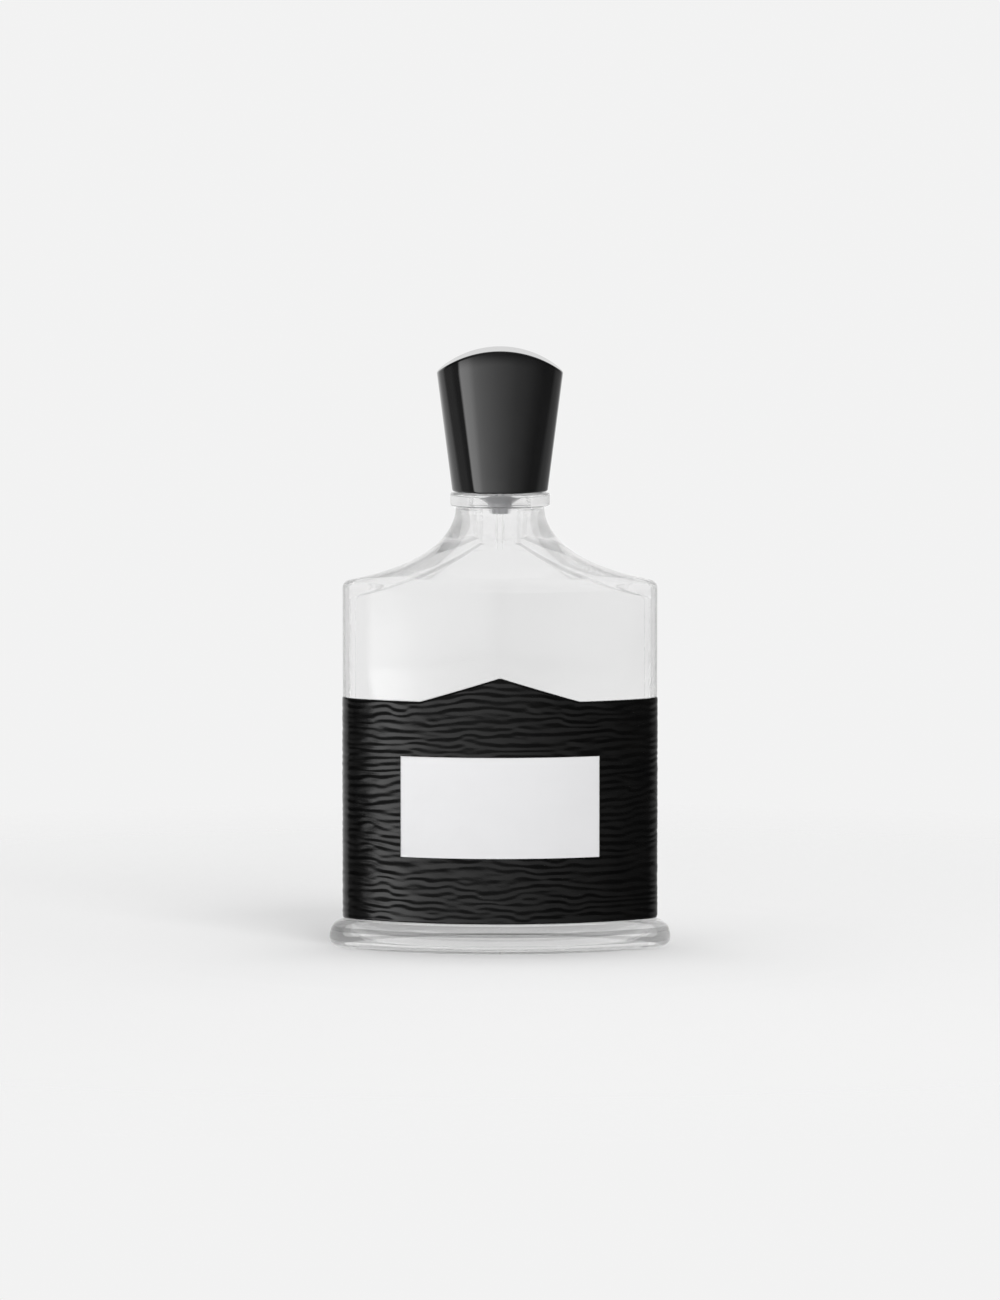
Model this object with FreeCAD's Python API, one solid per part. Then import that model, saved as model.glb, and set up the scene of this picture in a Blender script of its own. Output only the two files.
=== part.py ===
"""Aftershave bottle: a flat glass flask with a leather wrap, a crimped spray pump and a push-on cap.

Millimetres. +Z is up, the front faces -Y, and the origin is the middle of the base, on the surface it
stands on. Each piece of the bottle is one solid, written to parts/NODE.step.
"""

import FreeCAD
import Part
import math
import os

Vector = FreeCAD.Vector
UP = Vector(0, 0, 1)

# Glass body, seen from above: a convex face, a rounded corner and a slightly convex side, mirrored
BODY_HALF_WIDTH = 35.5
BODY_HALF_DEPTH = 17.0
FACE_RADIUS = 55.0
SIDE_RADIUS = 60.0
CORNER_RADIUS = 7.0

# Foot: a rounded flange around the base
FOOT_OVERHANG = 3.1
FOOT_HEIGHT = 6.2
FOOT_LOWER_ROUND = 2.2
FOOT_UPPER_ROUND = 3.8
PUSH_UP_INSET = 5.0
PUSH_UP_DEPTH = 0.7

# Shoulder: a quarter ellipse in the front view, from the neck down to the rounded corner of the body
NECK_RADIUS = 10.0
SHOULDER_TOP = 99.4
SHOULDER_REACH = 35.0
SHOULDER_DROP = 17.5
SHOULDER_ROUND = 1.6
SHOULDER_NECK_CORNER = 9.7
ROUND_SECTIONS = 6
SWEEP_SECTIONS = 12
EASE_BEND = 0.22

# Glass ring under the cap, and the crimp finish above it
RING_RADIUS = 11.25
RING_BOTTOM = 99.7
RING_TOP = 102.7
RING_ROUND = 0.7
FINISH_RADIUS = 6.65
BEAD_RADIUS = 7.5
BEAD_BOTTOM = 106.0
BEAD_CHAMFER = 0.7
GLASS_TOP = 109.0
BORE_RADIUS = 4.7

# Cavity of the flask, under a roof that slopes down from the bore along an arc
WALL_SIDE = 2.8
WALL_FACE = 2.8
CAVITY_FLOOR = 10.5
CAVITY_CORNER = 4.2
CAVITY_FLOOR_ROUND = 2.5
ROOF_TOP = 91.3
ROOF_RADIUS = 88.0
ROOF_START = 57.0
ROOF_ROUND = 2.0
ROOF_NECK_CORNER = 3.2

# Liquid
LIQUID_GAP = 0.05
LIQUID_LEVEL = 90.0

# Wrap: backing film and leather, let into the glass and standing a little proud of it, lower at the back
WRAP_RECESS = 0.8
WRAP_PROUD = 0.2
BACKING = 0.13
GLUE_GAP = 0.02
WRAP_BOTTOM = 6.6
WRAP_TOP = 56.6
WRAP_PEAK = 62.1
WRAP_PEAK_HALF_WIDTH = 18.0
WRAP_BACK = 53.6
WRAP_FALL = 10.0
WRAP_EDGE_GAP = 0.05
WRAP_SEAM = 0.25

# Plate on the front of the wrap
PLATE_HALF_WIDTH = 22.3
PLATE_BOTTOM = 21.5
PLATE_TOP = 44.2
PLATE_THICKNESS = 0.5

# Gasket, pump housing and the parts inside it
GASKET_INNER = 4.75
GASKET_OUTER = 7.2
GASKET_THICKNESS = 0.8
HOUSING_FLANGE_RADIUS = 7.3
HOUSING_FLANGE = 0.8
HOUSING_RADIUS = 4.3
HOUSING_UPPER_RADIUS = 3.9
HOUSING_TOP = 112.0
HOUSING_BORE = 3.0
HOUSING_BORE_BOTTOM = 103.2
HOUSING_CONE_TOP = 102.0
HOUSING_CONE_BOTTOM = 100.4
TAIL_RADIUS = 1.8
TAIL_BOTTOM = 97.8
SOCKET_TOP = 100.3
BALL_CHAMBER_RADIUS = 1.4
SEAT_TOP = 101.4
SEAT_BOTTOM = 100.8
INLET_RADIUS = 0.6
BALL_RADIUS = 1.1
BALL_GAP = 0.02
TUBE_RADIUS = 0.85
TUBE_BORE = 0.5
TUBE_GAP = 0.02
TUBE_BOTTOM = 11.4
TUBE_NOTCH_ANGLE = 35.0
SPRING_RADIUS = 2.2
SPRING_WIRE = 0.4
SPRING_TURNS = 5
PISTON_RADIUS = 2.95
PISTON_BOTTOM = 109.8
PISTON_TOP = 111.8
PISTON_WAIST = 2.6
PISTON_LIP = 0.5
STEM_RADIUS = 1.6
STEM_BORE = 0.55
STEM_TOP = 119.0
SPIGOT_RADIUS = 1.2
SPIGOT_BOTTOM = 109.4
FIT_GAP = 0.01
STEM_SEAL_INNER = 1.65
STEM_SEAL_OUTER = 3.9
STEM_SEAL_THICKNESS = 0.4

# Ferrule crimped under the glass bead, and the collar that dresses it
FERRULE_OUTER = 8.05
FERRULE_INNER = 7.65
FERRULE_BOTTOM = 105.0
FERRULE_LIP_TOP = 105.6
FERRULE_LIP_INNER = 6.95
FERRULE_SHEET = 0.4
CHIMNEY_OUTER = 4.4
CHIMNEY_INNER = 4.0
CHIMNEY_HOLE = 2.0
COLLAR_OUTER = 8.6
COLLAR_INNER = 8.2
COLLAR_BOTTOM = 102.75
COLLAR_TOP = 114.8
COLLAR_SHEET = 0.4
COLLAR_MOUTH = 6.75
COLLAR_ROUND = 0.35

# Spray button: a plastic core in an aluminium shell, with a nozzle insert at the front
BUTTON_RADIUS = 6.4
BUTTON_SHEET = 0.35
BUTTON_BOTTOM = 115.3
BUTTON_TOP = 122.6
BUTTON_ROUND = 0.7
BUTTON_GAP = 0.03
BUTTON_HOLLOW = 5.2
BUTTON_HOLLOW_TOP = 119.0
BOSS_RADIUS = 2.8
BOSS_BOTTOM = 116.8
SOCKET_RADIUS = 1.65
BUTTON_SOCKET_TOP = 119.2
NOZZLE_HEIGHT = 120.3
NOZZLE_RADIUS = 1.4
NOZZLE_DEPTH = 2.2
NOZZLE_WINDOW = 1.7
NOZZLE_DISH_RADIUS = 0.9
NOZZLE_DISH_DEPTH = 0.35
NOZZLE_ORIFICE = 0.2
CHANNEL_RADIUS = 0.5

# Cap: round at the mouth, cushion-shaped at the top, with an arched crown
CAP_BOTTOM = 102.95
CAP_MOUTH_RADIUS = 10.75
CAP_CROWN = 135.0
CAP_CORNER_HEIGHT = 129.9
CAP_CORNER_HALF_WIDTH = 14.25
CAP_TOP_HALF_DEPTH = 12.0
CAP_FACE_RADIUS = 18.5
CAP_SIDE_RADIUS = 16.5
CAP_CORNER_RADIUS = 6.5
CAP_EDGE_ROUND = 0.5
CAP_BORE = 9.6
CAP_BORE_TOP = 128.1
WEIGHT_POCKET_RADIUS = 8.4
WEIGHT_POCKET_TOP = 131.2
WEIGHT_RADIUS = 8.3
WEIGHT_BOTTOM = 128.2
WEIGHT_TOP = 131.0
WEIGHT_CHAMFER = 0.4
LINER_OUTER = 9.55
LINER_INNER = 8.85
LINER_BOTTOM = 103.2
LINER_CEILING = 127.2
LINER_TOP = 128.0
LINER_RIBS = 6
LINER_RIB_REACH = 8.68
LINER_RIB_WIDTH = 1.2
LINER_RIB_TOP = 112.4

# Angles from the front at which a round section is split, so that it lofts to a body section
ROUND_SPLIT_FACE = 24.0
ROUND_SPLIT_SIDE = 80.0
OVERSIZE = 60.0


# Outlines

def arc(start, middle, end):
    """Edge of a circular arc through three points."""
    return Part.Arc(start, middle, end).toShape()


def line(start, end):
    """Straight edge."""
    return Part.LineSegment(start, end).toShape()


def mirrored_wire(face_point, corner_point, side_point, half_width, half_depth, z):
    """Closed wire of eight arcs from one quarter's three split points, mirrored in X and Y."""
    def at(point, sx, sy):
        return Vector(point[0] * sx, point[1] * sy, z)

    edges = []
    for sx, sy in ((1, -1), (1, 1), (-1, 1), (-1, -1)):
        first, last = (face_point, side_point) if sx * sy < 0 else (side_point, face_point)
        edges.append(arc(at(first, sx, sy), at(corner_point, sx, sy), at(last, sx, sy)))
        if sx * sy < 0:
            edges.append(arc(at(side_point, sx, sy), Vector(sx * half_width, 0, z), at(side_point, sx, -sy)))
        else:
            edges.append(arc(at(face_point, sx, sy), Vector(0, sy * half_depth, z), at(face_point, -sx, sy)))
    return Part.Wire(edges)


def cushion_section(half_width, half_depth, face_radius, side_radius, corner_radius, z):
    """Section with convex faces and sides and rounded corners, as a wire at height z."""
    face_centre = face_radius - half_depth
    side_centre = half_width - side_radius
    to_face = face_radius - corner_radius
    to_side = side_radius - corner_radius
    # The corner's centre lies to_face from the face's centre and to_side from the side's
    gap = math.hypot(side_centre, face_centre)
    along = (to_face ** 2 - to_side ** 2 + gap ** 2) / (2 * gap)
    across = math.sqrt(to_face ** 2 - along ** 2)
    ux, uy = side_centre / gap, face_centre / gap
    options = [(along * ux - s * across * uy, -face_centre + along * uy + s * across * ux) for s in (1, -1)]
    corner = max(options, key=lambda p: p[0] + p[1])

    def reach(centre, radius):
        dx, dy = corner[0] - centre[0], corner[1] - centre[1]
        length = math.hypot(dx, dy)
        return centre[0] + dx * radius / length, centre[1] + dy * radius / length

    face_point = reach((0.0, -face_centre), face_radius)
    side_point = reach((side_centre, 0.0), side_radius)
    mid_x = (face_point[0] + side_point[0]) / 2 - corner[0]
    mid_y = (face_point[1] + side_point[1]) / 2 - corner[1]
    mid = math.hypot(mid_x, mid_y)
    corner_point = (corner[0] + mid_x * corner_radius / mid, corner[1] + mid_y * corner_radius / mid)
    return mirrored_wire(face_point, corner_point, side_point, half_width, half_depth, z)


def round_section(radius, z):
    """Circle at height z, split into eight arcs like a cushion section."""
    face = math.radians(ROUND_SPLIT_FACE)
    side = math.radians(ROUND_SPLIT_SIDE)
    points = [(radius * math.sin(a), radius * math.cos(a)) for a in (face, (face + side) / 2, side)]
    return mirrored_wire(*points, radius, radius, z)


def body_section(outward, z):
    """The body's outline moved outward by that much."""
    return cushion_section(
        BODY_HALF_WIDTH + outward,
        BODY_HALF_DEPTH + outward,
        FACE_RADIUS + outward,
        SIDE_RADIUS + outward,
        CORNER_RADIUS + outward,
        z,
    )


def prism(wire, height):
    """Solid above a closed flat wire."""
    return Part.Face(wire).extrude(Vector(0, 0, height))


def body_prism(outward, bottom, top):
    """Prism of the body's outline moved outward."""
    return prism(body_section(outward, bottom), top - bottom)


def turned(points):
    """Solid of revolution about Z from (radius, height) points joined by straight lines."""
    corners = [Vector(r, 0, z) for r, z in points]
    wire = Part.makePolygon(corners + corners[:1])
    return Part.Face(wire).revolve(Vector(0, 0, 0), UP, 360)


def tube(outer, inner, bottom, top):
    """Straight tube about Z."""
    return turned([(inner, bottom), (outer, bottom), (outer, top), (inner, top)])


def rod(radius, bottom, top):
    """Cylinder about Z."""
    return Part.makeCylinder(radius, top - bottom, Vector(0, 0, bottom), UP)


def circle_edges(shape, radius, z):
    """Round edges of that radius at that height."""
    found = []
    for edge in shape.Edges:
        curve = edge.Curve
        if isinstance(curve, Part.Circle) and abs(curve.Radius - radius) < 1e-6:
            if abs(curve.Center.z - z) < 1e-6 and abs(curve.Axis.z) > 0.999:
                found.append(edge)
    return found


def flat_edges(shape, z):
    """Edges that lie at height z."""
    return [e for e in shape.Edges if abs(e.BoundBox.ZMin - z) < 1e-6 and abs(e.BoundBox.ZMax - z) < 1e-6]


# Glass flask

def ease(u):
    """Falls from 1 to 0 as u goes from 0 to 1, level at both ends and straight in between."""
    fall = 1 / (1 - EASE_BEND)
    if u < EASE_BEND:
        return 1 - fall * u * u / (2 * EASE_BEND)
    if u > 1 - EASE_BEND:
        return fall * (1 - u) ** 2 / (2 * EASE_BEND)
    return 1 - fall * (u - EASE_BEND / 2)


def shoulder_profile(half_width, neck, reach, drop, top, corner_round, start):
    """(half width, height) points up a round corner and along an ellipse to the neck.

    start is the angle on the ellipse where it meets the neck, 0 if it is upright there.
    """
    def ellipse(angle):
        x = neck + reach * (math.cos(start) - math.cos(angle))
        return x, top - drop * (math.sin(angle) - math.sin(start))

    def round_centre(angle):
        x, z = ellipse(angle)
        fall = math.atan2(drop * math.cos(angle), reach * math.sin(angle))
        return x - math.sin(fall) * corner_round, z - math.cos(fall) * corner_round, fall

    # The round touches the ellipse where its centre comes to lie one radius inside the wall
    low, high = 0.5, math.pi / 2
    for _ in range(60):
        angle = (low + high) / 2
        if round_centre(angle)[0] > half_width - corner_round:
            high = angle
        else:
            low = angle
    centre_x, centre_z, fall = round_centre(angle)
    points = []
    for i in range(ROUND_SECTIONS):
        turn = (math.pi / 2 - fall) * i / ROUND_SECTIONS
        points.append((centre_x + corner_round * math.cos(turn), centre_z + corner_round * math.sin(turn)))
    return points + [ellipse(angle + (start - angle) * i / SWEEP_SECTIONS) for i in range(SWEEP_SECTIONS + 1)]


def shoulder_loft(profile, section, neck, neck_corner):
    """Solid from a cushion section up a shoulder profile to a round neck, and the height it starts at.

    section gives the cushion's half width, half depth, face radius, side radius and corner radius, and
    neck_corner is the corner radius just below the neck.
    """
    full_width, full_depth, face, side, corner = section
    bottom, top = profile[0][1], profile[-1][1]
    wires = [cushion_section(*section, bottom)]
    for half_width, z in profile[1:-1]:
        half_depth = neck + (full_depth - neck) * ease((z - bottom) / (top - bottom))
        body = (half_width - neck) / (full_width - neck)
        wires.append(
            cushion_section(
                half_width,
                half_depth,
                neck + (face - neck) * body + (half_width - half_depth) * (1 - body),
                half_width + (side - full_width) * body + 0.2 * (1 - body),
                corner + (neck_corner - corner) * (1 - body),
                z,
            )
        )
    wires.append(round_section(neck, top))
    return Part.makeLoft(wires, True, False), bottom


def shoulder():
    """Glass from the corner of the body up to the neck, and the height it starts at."""
    profile = shoulder_profile(
        BODY_HALF_WIDTH, NECK_RADIUS, SHOULDER_REACH, SHOULDER_DROP, SHOULDER_TOP, SHOULDER_ROUND, 0.0
    )
    section = (BODY_HALF_WIDTH, BODY_HALF_DEPTH, FACE_RADIUS, SIDE_RADIUS, CORNER_RADIUS)
    return shoulder_loft(profile, section, NECK_RADIUS, SHOULDER_NECK_CORNER)


def foot():
    """Rounded flange around the base, with a shallow push-up underneath."""
    flange = body_prism(FOOT_OVERHANG, 0.0, FOOT_HEIGHT)
    flange = flange.makeFillet(FOOT_LOWER_ROUND, flat_edges(flange, 0.0))
    flange = flange.makeFillet(FOOT_UPPER_ROUND, flat_edges(flange, FOOT_HEIGHT))
    push_up = body_prism(FOOT_OVERHANG - PUSH_UP_INSET, -1.0, PUSH_UP_DEPTH)
    push_up = push_up.makeFillet(PUSH_UP_DEPTH * 0.9, flat_edges(push_up, PUSH_UP_DEPTH))
    return flange.cut(push_up)


def cavity(gap):
    """The flask's inside, from its floor to the top of its roof, held off the glass by gap."""
    section = (
        BODY_HALF_WIDTH - WALL_SIDE - gap,
        BODY_HALF_DEPTH - WALL_FACE - gap,
        FACE_RADIUS - WALL_FACE - gap,
        SIDE_RADIUS - WALL_SIDE - gap,
        CAVITY_CORNER - gap,
    )
    bore = BORE_RADIUS - gap
    floor = CAVITY_FLOOR + gap
    start = math.radians(ROOF_START)
    profile = shoulder_profile(section[0], bore, ROOF_RADIUS, ROOF_RADIUS, ROOF_TOP - gap, ROOF_ROUND, start)
    roof, roof_foot = shoulder_loft(profile, section, bore, ROOF_NECK_CORNER - gap)
    well = prism(cushion_section(*section, floor), roof_foot - floor)
    well = well.makeFillet(CAVITY_FLOOR_ROUND, flat_edges(well, floor))
    return well.fuse(roof)


def neck():
    """Neck ring and crimp finish above the shoulder."""
    ring = rod(RING_RADIUS, RING_BOTTOM, RING_TOP)
    edges = circle_edges(ring, RING_RADIUS, RING_BOTTOM) + circle_edges(ring, RING_RADIUS, RING_TOP)
    ring = ring.makeFillet(RING_ROUND, edges)
    finish = turned([
        (0, SHOULDER_TOP),
        (NECK_RADIUS, SHOULDER_TOP),
        (NECK_RADIUS, RING_BOTTOM + RING_ROUND),
        (FINISH_RADIUS, RING_BOTTOM + RING_ROUND),
        (FINISH_RADIUS, BEAD_BOTTOM),
        (BEAD_RADIUS, BEAD_BOTTOM + BEAD_CHAMFER),
        (BEAD_RADIUS, GLASS_TOP - BEAD_CHAMFER),
        (BEAD_RADIUS - BEAD_CHAMFER, GLASS_TOP),
        (0, GLASS_TOP),
    ])
    return finish.fuse(ring)


def wrap_outline(edge_gap):
    """Slab through the bottle with the wrap's outline: a peak in front, and a top edge that falls behind."""
    bottom = WRAP_BOTTOM + edge_gap
    top = WRAP_TOP - edge_gap
    corners = [
        (-OVERSIZE, bottom),
        (OVERSIZE, bottom),
        (OVERSIZE, top),
        (WRAP_PEAK_HALF_WIDTH, top),
        (0, WRAP_PEAK - edge_gap),
        (-WRAP_PEAK_HALF_WIDTH, top),
        (-OVERSIZE, top),
    ]
    points = [Vector(x, -OVERSIZE, z) for x, z in corners]
    slab = Part.Face(Part.makePolygon(points + points[:1])).extrude(Vector(0, 2 * OVERSIZE, 0))
    back = WRAP_BACK - edge_gap
    corners = [
        (0, WRAP_PEAK + 1),
        (0, top),
        (WRAP_FALL, back),
        (OVERSIZE, back),
        (OVERSIZE, WRAP_PEAK + 1),
    ]
    points = [Vector(-OVERSIZE, y, z) for y, z in corners]
    return slab.cut(Part.Face(Part.makePolygon(points + points[:1])).extrude(Vector(2 * OVERSIZE, 0, 0)))


def wrap_layer(inner, outer, edge_gap):
    """A layer of the wrap between two offsets of the body's outline."""
    low, high = WRAP_BOTTOM - 1, WRAP_PEAK + 1
    layer = body_prism(outer, low, high).cut(body_prism(inner, low, high))
    return layer.common(wrap_outline(edge_gap))


def glass_bottle():
    """The flask: foot, body with its recess for the wrap, shoulder, neck and cavity."""
    top, foot_of_shoulder = shoulder()
    body = body_prism(0.0, PUSH_UP_DEPTH + 1.0, foot_of_shoulder)
    glass = body.fuse([foot(), top, neck()]).removeSplitter()
    glass = glass.cut(wrap_layer(-WRAP_RECESS, OVERSIZE / 10, 0.0))
    inside = cavity(0.0).fuse(rod(BORE_RADIUS, ROOF_TOP, GLASS_TOP + 1))
    return glass.cut(inside)


def aftershave_liquid():
    """The fill, up to its level, around the dip tube."""
    fill = cavity(LIQUID_GAP)
    keep = Part.makeBox(2 * OVERSIZE, 2 * OVERSIZE, LIQUID_LEVEL, Vector(-OVERSIZE, -OVERSIZE, 0))
    return fill.common(keep).cut(rod(TUBE_RADIUS + LIQUID_GAP, TUBE_BOTTOM - LIQUID_GAP, LIQUID_LEVEL + 1))


# Wrap and plate

def wrap_backing():
    """Adhesive film between the glass and the leather."""
    inner = -WRAP_RECESS + GLUE_GAP
    return seamed(wrap_layer(inner, inner + BACKING, WRAP_EDGE_GAP))


def leather_wrap():
    """Leather around the body, closed by a butt seam at the back."""
    inner = -WRAP_RECESS + 2 * GLUE_GAP + BACKING
    return seamed(wrap_layer(inner, WRAP_PROUD, WRAP_EDGE_GAP))


def seamed(layer):
    """Opens a layer of the wrap along the seam at the back."""
    slot = Part.makeBox(WRAP_SEAM, OVERSIZE, 2 * OVERSIZE, Vector(-WRAP_SEAM / 2, 0, 0))
    return layer.cut(slot)


def front_plate():
    """Bare curved metal plate on the front of the leather."""
    inner = WRAP_PROUD + GLUE_GAP
    layer = body_prism(inner + PLATE_THICKNESS, PLATE_BOTTOM, PLATE_TOP)
    layer = layer.cut(body_prism(inner, PLATE_BOTTOM - 1, PLATE_TOP + 1))
    low_corner = Vector(-PLATE_HALF_WIDTH, -OVERSIZE, PLATE_BOTTOM)
    window = Part.makeBox(2 * PLATE_HALF_WIDTH, OVERSIZE, PLATE_TOP - PLATE_BOTTOM, low_corner)
    return layer.common(window)


# Spray pump

GASKET_TOP = GLASS_TOP + GASKET_THICKNESS
FLANGE_TOP = GASKET_TOP + HOUSING_FLANGE
SEAL_TOP = HOUSING_TOP + STEM_SEAL_THICKNESS


def neck_gasket():
    """Flat gasket between the glass and the pump."""
    return tube(GASKET_OUTER, GASKET_INNER, GLASS_TOP, GASKET_TOP)


def pump_housing():
    """Cylinder of the pump, with its flange, ball seat and dip-tube socket."""
    return turned([
        (HOUSING_BORE, HOUSING_TOP),
        (HOUSING_UPPER_RADIUS, HOUSING_TOP),
        (HOUSING_UPPER_RADIUS, FLANGE_TOP),
        (HOUSING_FLANGE_RADIUS, FLANGE_TOP),
        (HOUSING_FLANGE_RADIUS, GASKET_TOP),
        (HOUSING_RADIUS, GASKET_TOP),
        (HOUSING_RADIUS, HOUSING_CONE_TOP),
        (TAIL_RADIUS, HOUSING_CONE_BOTTOM),
        (TAIL_RADIUS, TAIL_BOTTOM),
        (TUBE_RADIUS + TUBE_GAP, TAIL_BOTTOM),
        (TUBE_RADIUS + TUBE_GAP, SOCKET_TOP),
        (INLET_RADIUS, SOCKET_TOP),
        (INLET_RADIUS, SEAT_BOTTOM),
        (BALL_CHAMBER_RADIUS, SEAT_TOP),
        (BALL_CHAMBER_RADIUS, HOUSING_BORE_BOTTOM),
        (HOUSING_BORE, HOUSING_BORE_BOTTOM),
    ])


def ball_height():
    """Height of the ball's centre when it sits on its conical seat."""
    half_angle = math.atan2(BALL_CHAMBER_RADIUS - INLET_RADIUS, SEAT_TOP - SEAT_BOTTOM)
    apex = SEAT_BOTTOM - INLET_RADIUS / math.tan(half_angle)
    return apex + BALL_RADIUS / math.sin(half_angle) + BALL_GAP


def inlet_ball():
    """Steel ball of the inlet valve."""
    return Part.makeSphere(BALL_RADIUS, Vector(0, 0, ball_height()))


def dip_tube():
    """Clear tube from the pump to the floor of the flask, cut slanting at its foot."""
    straight = tube(TUBE_RADIUS, TUBE_BORE, TUBE_BOTTOM, SOCKET_TOP - TUBE_GAP)
    wedge = Part.makeBox(OVERSIZE, OVERSIZE, OVERSIZE, Vector(-OVERSIZE / 2, -OVERSIZE / 2, -OVERSIZE))
    wedge.rotate(Vector(0, 0, 0), Vector(0, 1, 0), TUBE_NOTCH_ANGLE)
    lift = TUBE_BOTTOM + TUBE_RADIUS * math.tan(math.radians(TUBE_NOTCH_ANGLE))
    wedge.translate(Vector(0, 0, lift))
    return straight.cut(wedge)


def helix_point(turn, bottom, pitch):
    """Point and unit tangent of the spring's centreline after that many turns."""
    angle = 2 * math.pi * turn
    point = Vector(SPRING_RADIUS * math.cos(angle), SPRING_RADIUS * math.sin(angle), bottom + pitch * turn)
    climb = pitch / (2 * math.pi)
    tangent = Vector(-SPRING_RADIUS * math.sin(angle), SPRING_RADIUS * math.cos(angle), climb)
    return point, tangent.normalize()


def tangent_arc(start, control, end):
    """Arc from start to end whose end tangents meet at control."""
    chord_middle = (start + end) * 0.5
    half_chord = (end - start).Length / 2
    out = control - chord_middle
    bulge = half_chord * math.tan(math.atan2(out.Length, half_chord) / 2)
    return arc(start, chord_middle + out.normalize() * bulge, end)


def biarc(start, start_tangent, end, end_tangent):
    """Two arcs that join two points with those tangents."""
    span = end - start
    both = start_tangent + end_tangent
    a = 2 * start_tangent.dot(end_tangent) - 2
    b = -2 * span.dot(both)
    c = span.dot(span)
    reach = (-b - math.sqrt(b * b - 4 * a * c)) / (2 * a)
    first = start + start_tangent * reach
    second = end - end_tangent * reach
    join = (first + second) * 0.5
    return [tangent_arc(start, first, join), tangent_arc(join, second, end)]


def return_spring():
    """Open coil spring between the housing's shoulder and the piston."""
    bottom = HOUSING_BORE_BOTTOM + SPRING_WIRE / 2 + TUBE_GAP
    top = PISTON_BOTTOM - SPRING_WIRE / 2 - TUBE_GAP
    pitch = (top - bottom) / SPRING_TURNS
    stations = [helix_point(i / 4, bottom, pitch) for i in range(4 * SPRING_TURNS + 1)]
    edges = []
    for (p, t), (q, u) in zip(stations, stations[1:]):
        edges += biarc(p, t, q, u)
    path = Part.Wire(edges)
    start, tangent = stations[0]
    ring = Part.Wire(Part.makeCircle(SPRING_WIRE / 2, start, tangent))
    print(f"spring: least gap between turns {pitch - SPRING_WIRE:.2f} mm")
    return path.makePipeShell([ring], True, False)


def piston():
    """Waisted piston with a lip at each end, pressed on the foot of the stem."""
    hole = SPIGOT_RADIUS + FIT_GAP
    return turned([
        (hole, PISTON_BOTTOM),
        (PISTON_RADIUS, PISTON_BOTTOM),
        (PISTON_RADIUS, PISTON_BOTTOM + PISTON_LIP),
        (PISTON_WAIST, PISTON_BOTTOM + PISTON_LIP),
        (PISTON_WAIST, PISTON_TOP - PISTON_LIP),
        (PISTON_RADIUS, PISTON_TOP - PISTON_LIP),
        (PISTON_RADIUS, PISTON_TOP),
        (hole, PISTON_TOP),
    ])


def stem():
    """Hollow stem that carries the spray button and drives the piston."""
    shoulder_height = PISTON_TOP + FIT_GAP
    return turned([
        (STEM_BORE, SPIGOT_BOTTOM),
        (SPIGOT_RADIUS, SPIGOT_BOTTOM),
        (SPIGOT_RADIUS, shoulder_height),
        (STEM_RADIUS, shoulder_height),
        (STEM_RADIUS, STEM_TOP),
        (STEM_BORE, STEM_TOP),
    ])


def stem_seal():
    """Ring that seals the stem under the ferrule."""
    return tube(STEM_SEAL_OUTER, STEM_SEAL_INNER, HOUSING_TOP, SEAL_TOP)


def ferrule():
    """Aluminium cup crimped under the bead, with a chimney that holds the pump."""
    plate_top = FLANGE_TOP + FERRULE_SHEET
    chimney_top = SEAL_TOP + FERRULE_SHEET
    return turned([
        (FERRULE_LIP_INNER, FERRULE_BOTTOM),
        (FERRULE_OUTER, FERRULE_BOTTOM),
        (FERRULE_OUTER, plate_top),
        (CHIMNEY_OUTER, plate_top),
        (CHIMNEY_OUTER, chimney_top),
        (CHIMNEY_HOLE, chimney_top),
        (CHIMNEY_HOLE, SEAL_TOP),
        (CHIMNEY_INNER, SEAL_TOP),
        (CHIMNEY_INNER, FLANGE_TOP),
        (FERRULE_INNER, FLANGE_TOP),
        (FERRULE_INNER, FERRULE_LIP_TOP),
        (FERRULE_LIP_INNER, FERRULE_LIP_TOP),
    ])


def collar():
    """Aluminium sleeve that hides the ferrule and takes the cap."""
    flange = COLLAR_TOP - COLLAR_SHEET
    sleeve = turned([
        (COLLAR_INNER, COLLAR_BOTTOM),
        (COLLAR_OUTER, COLLAR_BOTTOM),
        (COLLAR_OUTER, COLLAR_TOP),
        (COLLAR_MOUTH, COLLAR_TOP),
        (COLLAR_MOUTH, flange),
        (COLLAR_INNER, flange),
    ])
    return sleeve.makeFillet(COLLAR_ROUND, circle_edges(sleeve, COLLAR_OUTER, COLLAR_TOP))


# Spray button

def forward_rod(radius, near, far):
    """Cylinder towards the front at the nozzle's height, from y = -near to y = -far."""
    return Part.makeCylinder(radius, far - near, Vector(0, -near, NOZZLE_HEIGHT), Vector(0, -1, 0))


def actuator_core():
    """Plastic core of the spray button, with the stem socket, channel and nozzle pocket."""
    radius = BUTTON_RADIUS - BUTTON_SHEET - BUTTON_GAP
    top = BUTTON_TOP - BUTTON_SHEET - BUTTON_GAP
    core = rod(radius, BUTTON_BOTTOM, top)
    core = core.makeFillet(BUTTON_ROUND, circle_edges(core, radius, top))
    hollow = tube(BUTTON_HOLLOW, BOSS_RADIUS, BUTTON_BOTTOM - 1, BUTTON_HOLLOW_TOP)
    below_boss = rod(BUTTON_HOLLOW, BUTTON_BOTTOM - 1, BOSS_BOTTOM)
    socket = rod(SOCKET_RADIUS, BOSS_BOTTOM - 1, BUTTON_SOCKET_TOP)
    channel = rod(CHANNEL_RADIUS, BUTTON_SOCKET_TOP - 1, NOZZLE_HEIGHT + CHANNEL_RADIUS)
    spray_way = forward_rod(CHANNEL_RADIUS, 0, radius)
    pocket = forward_rod(NOZZLE_RADIUS + FIT_GAP, BUTTON_RADIUS - NOZZLE_DEPTH, BUTTON_RADIUS + 1)
    return core.cut([hollow, below_boss, socket, channel, spray_way, pocket])


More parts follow.
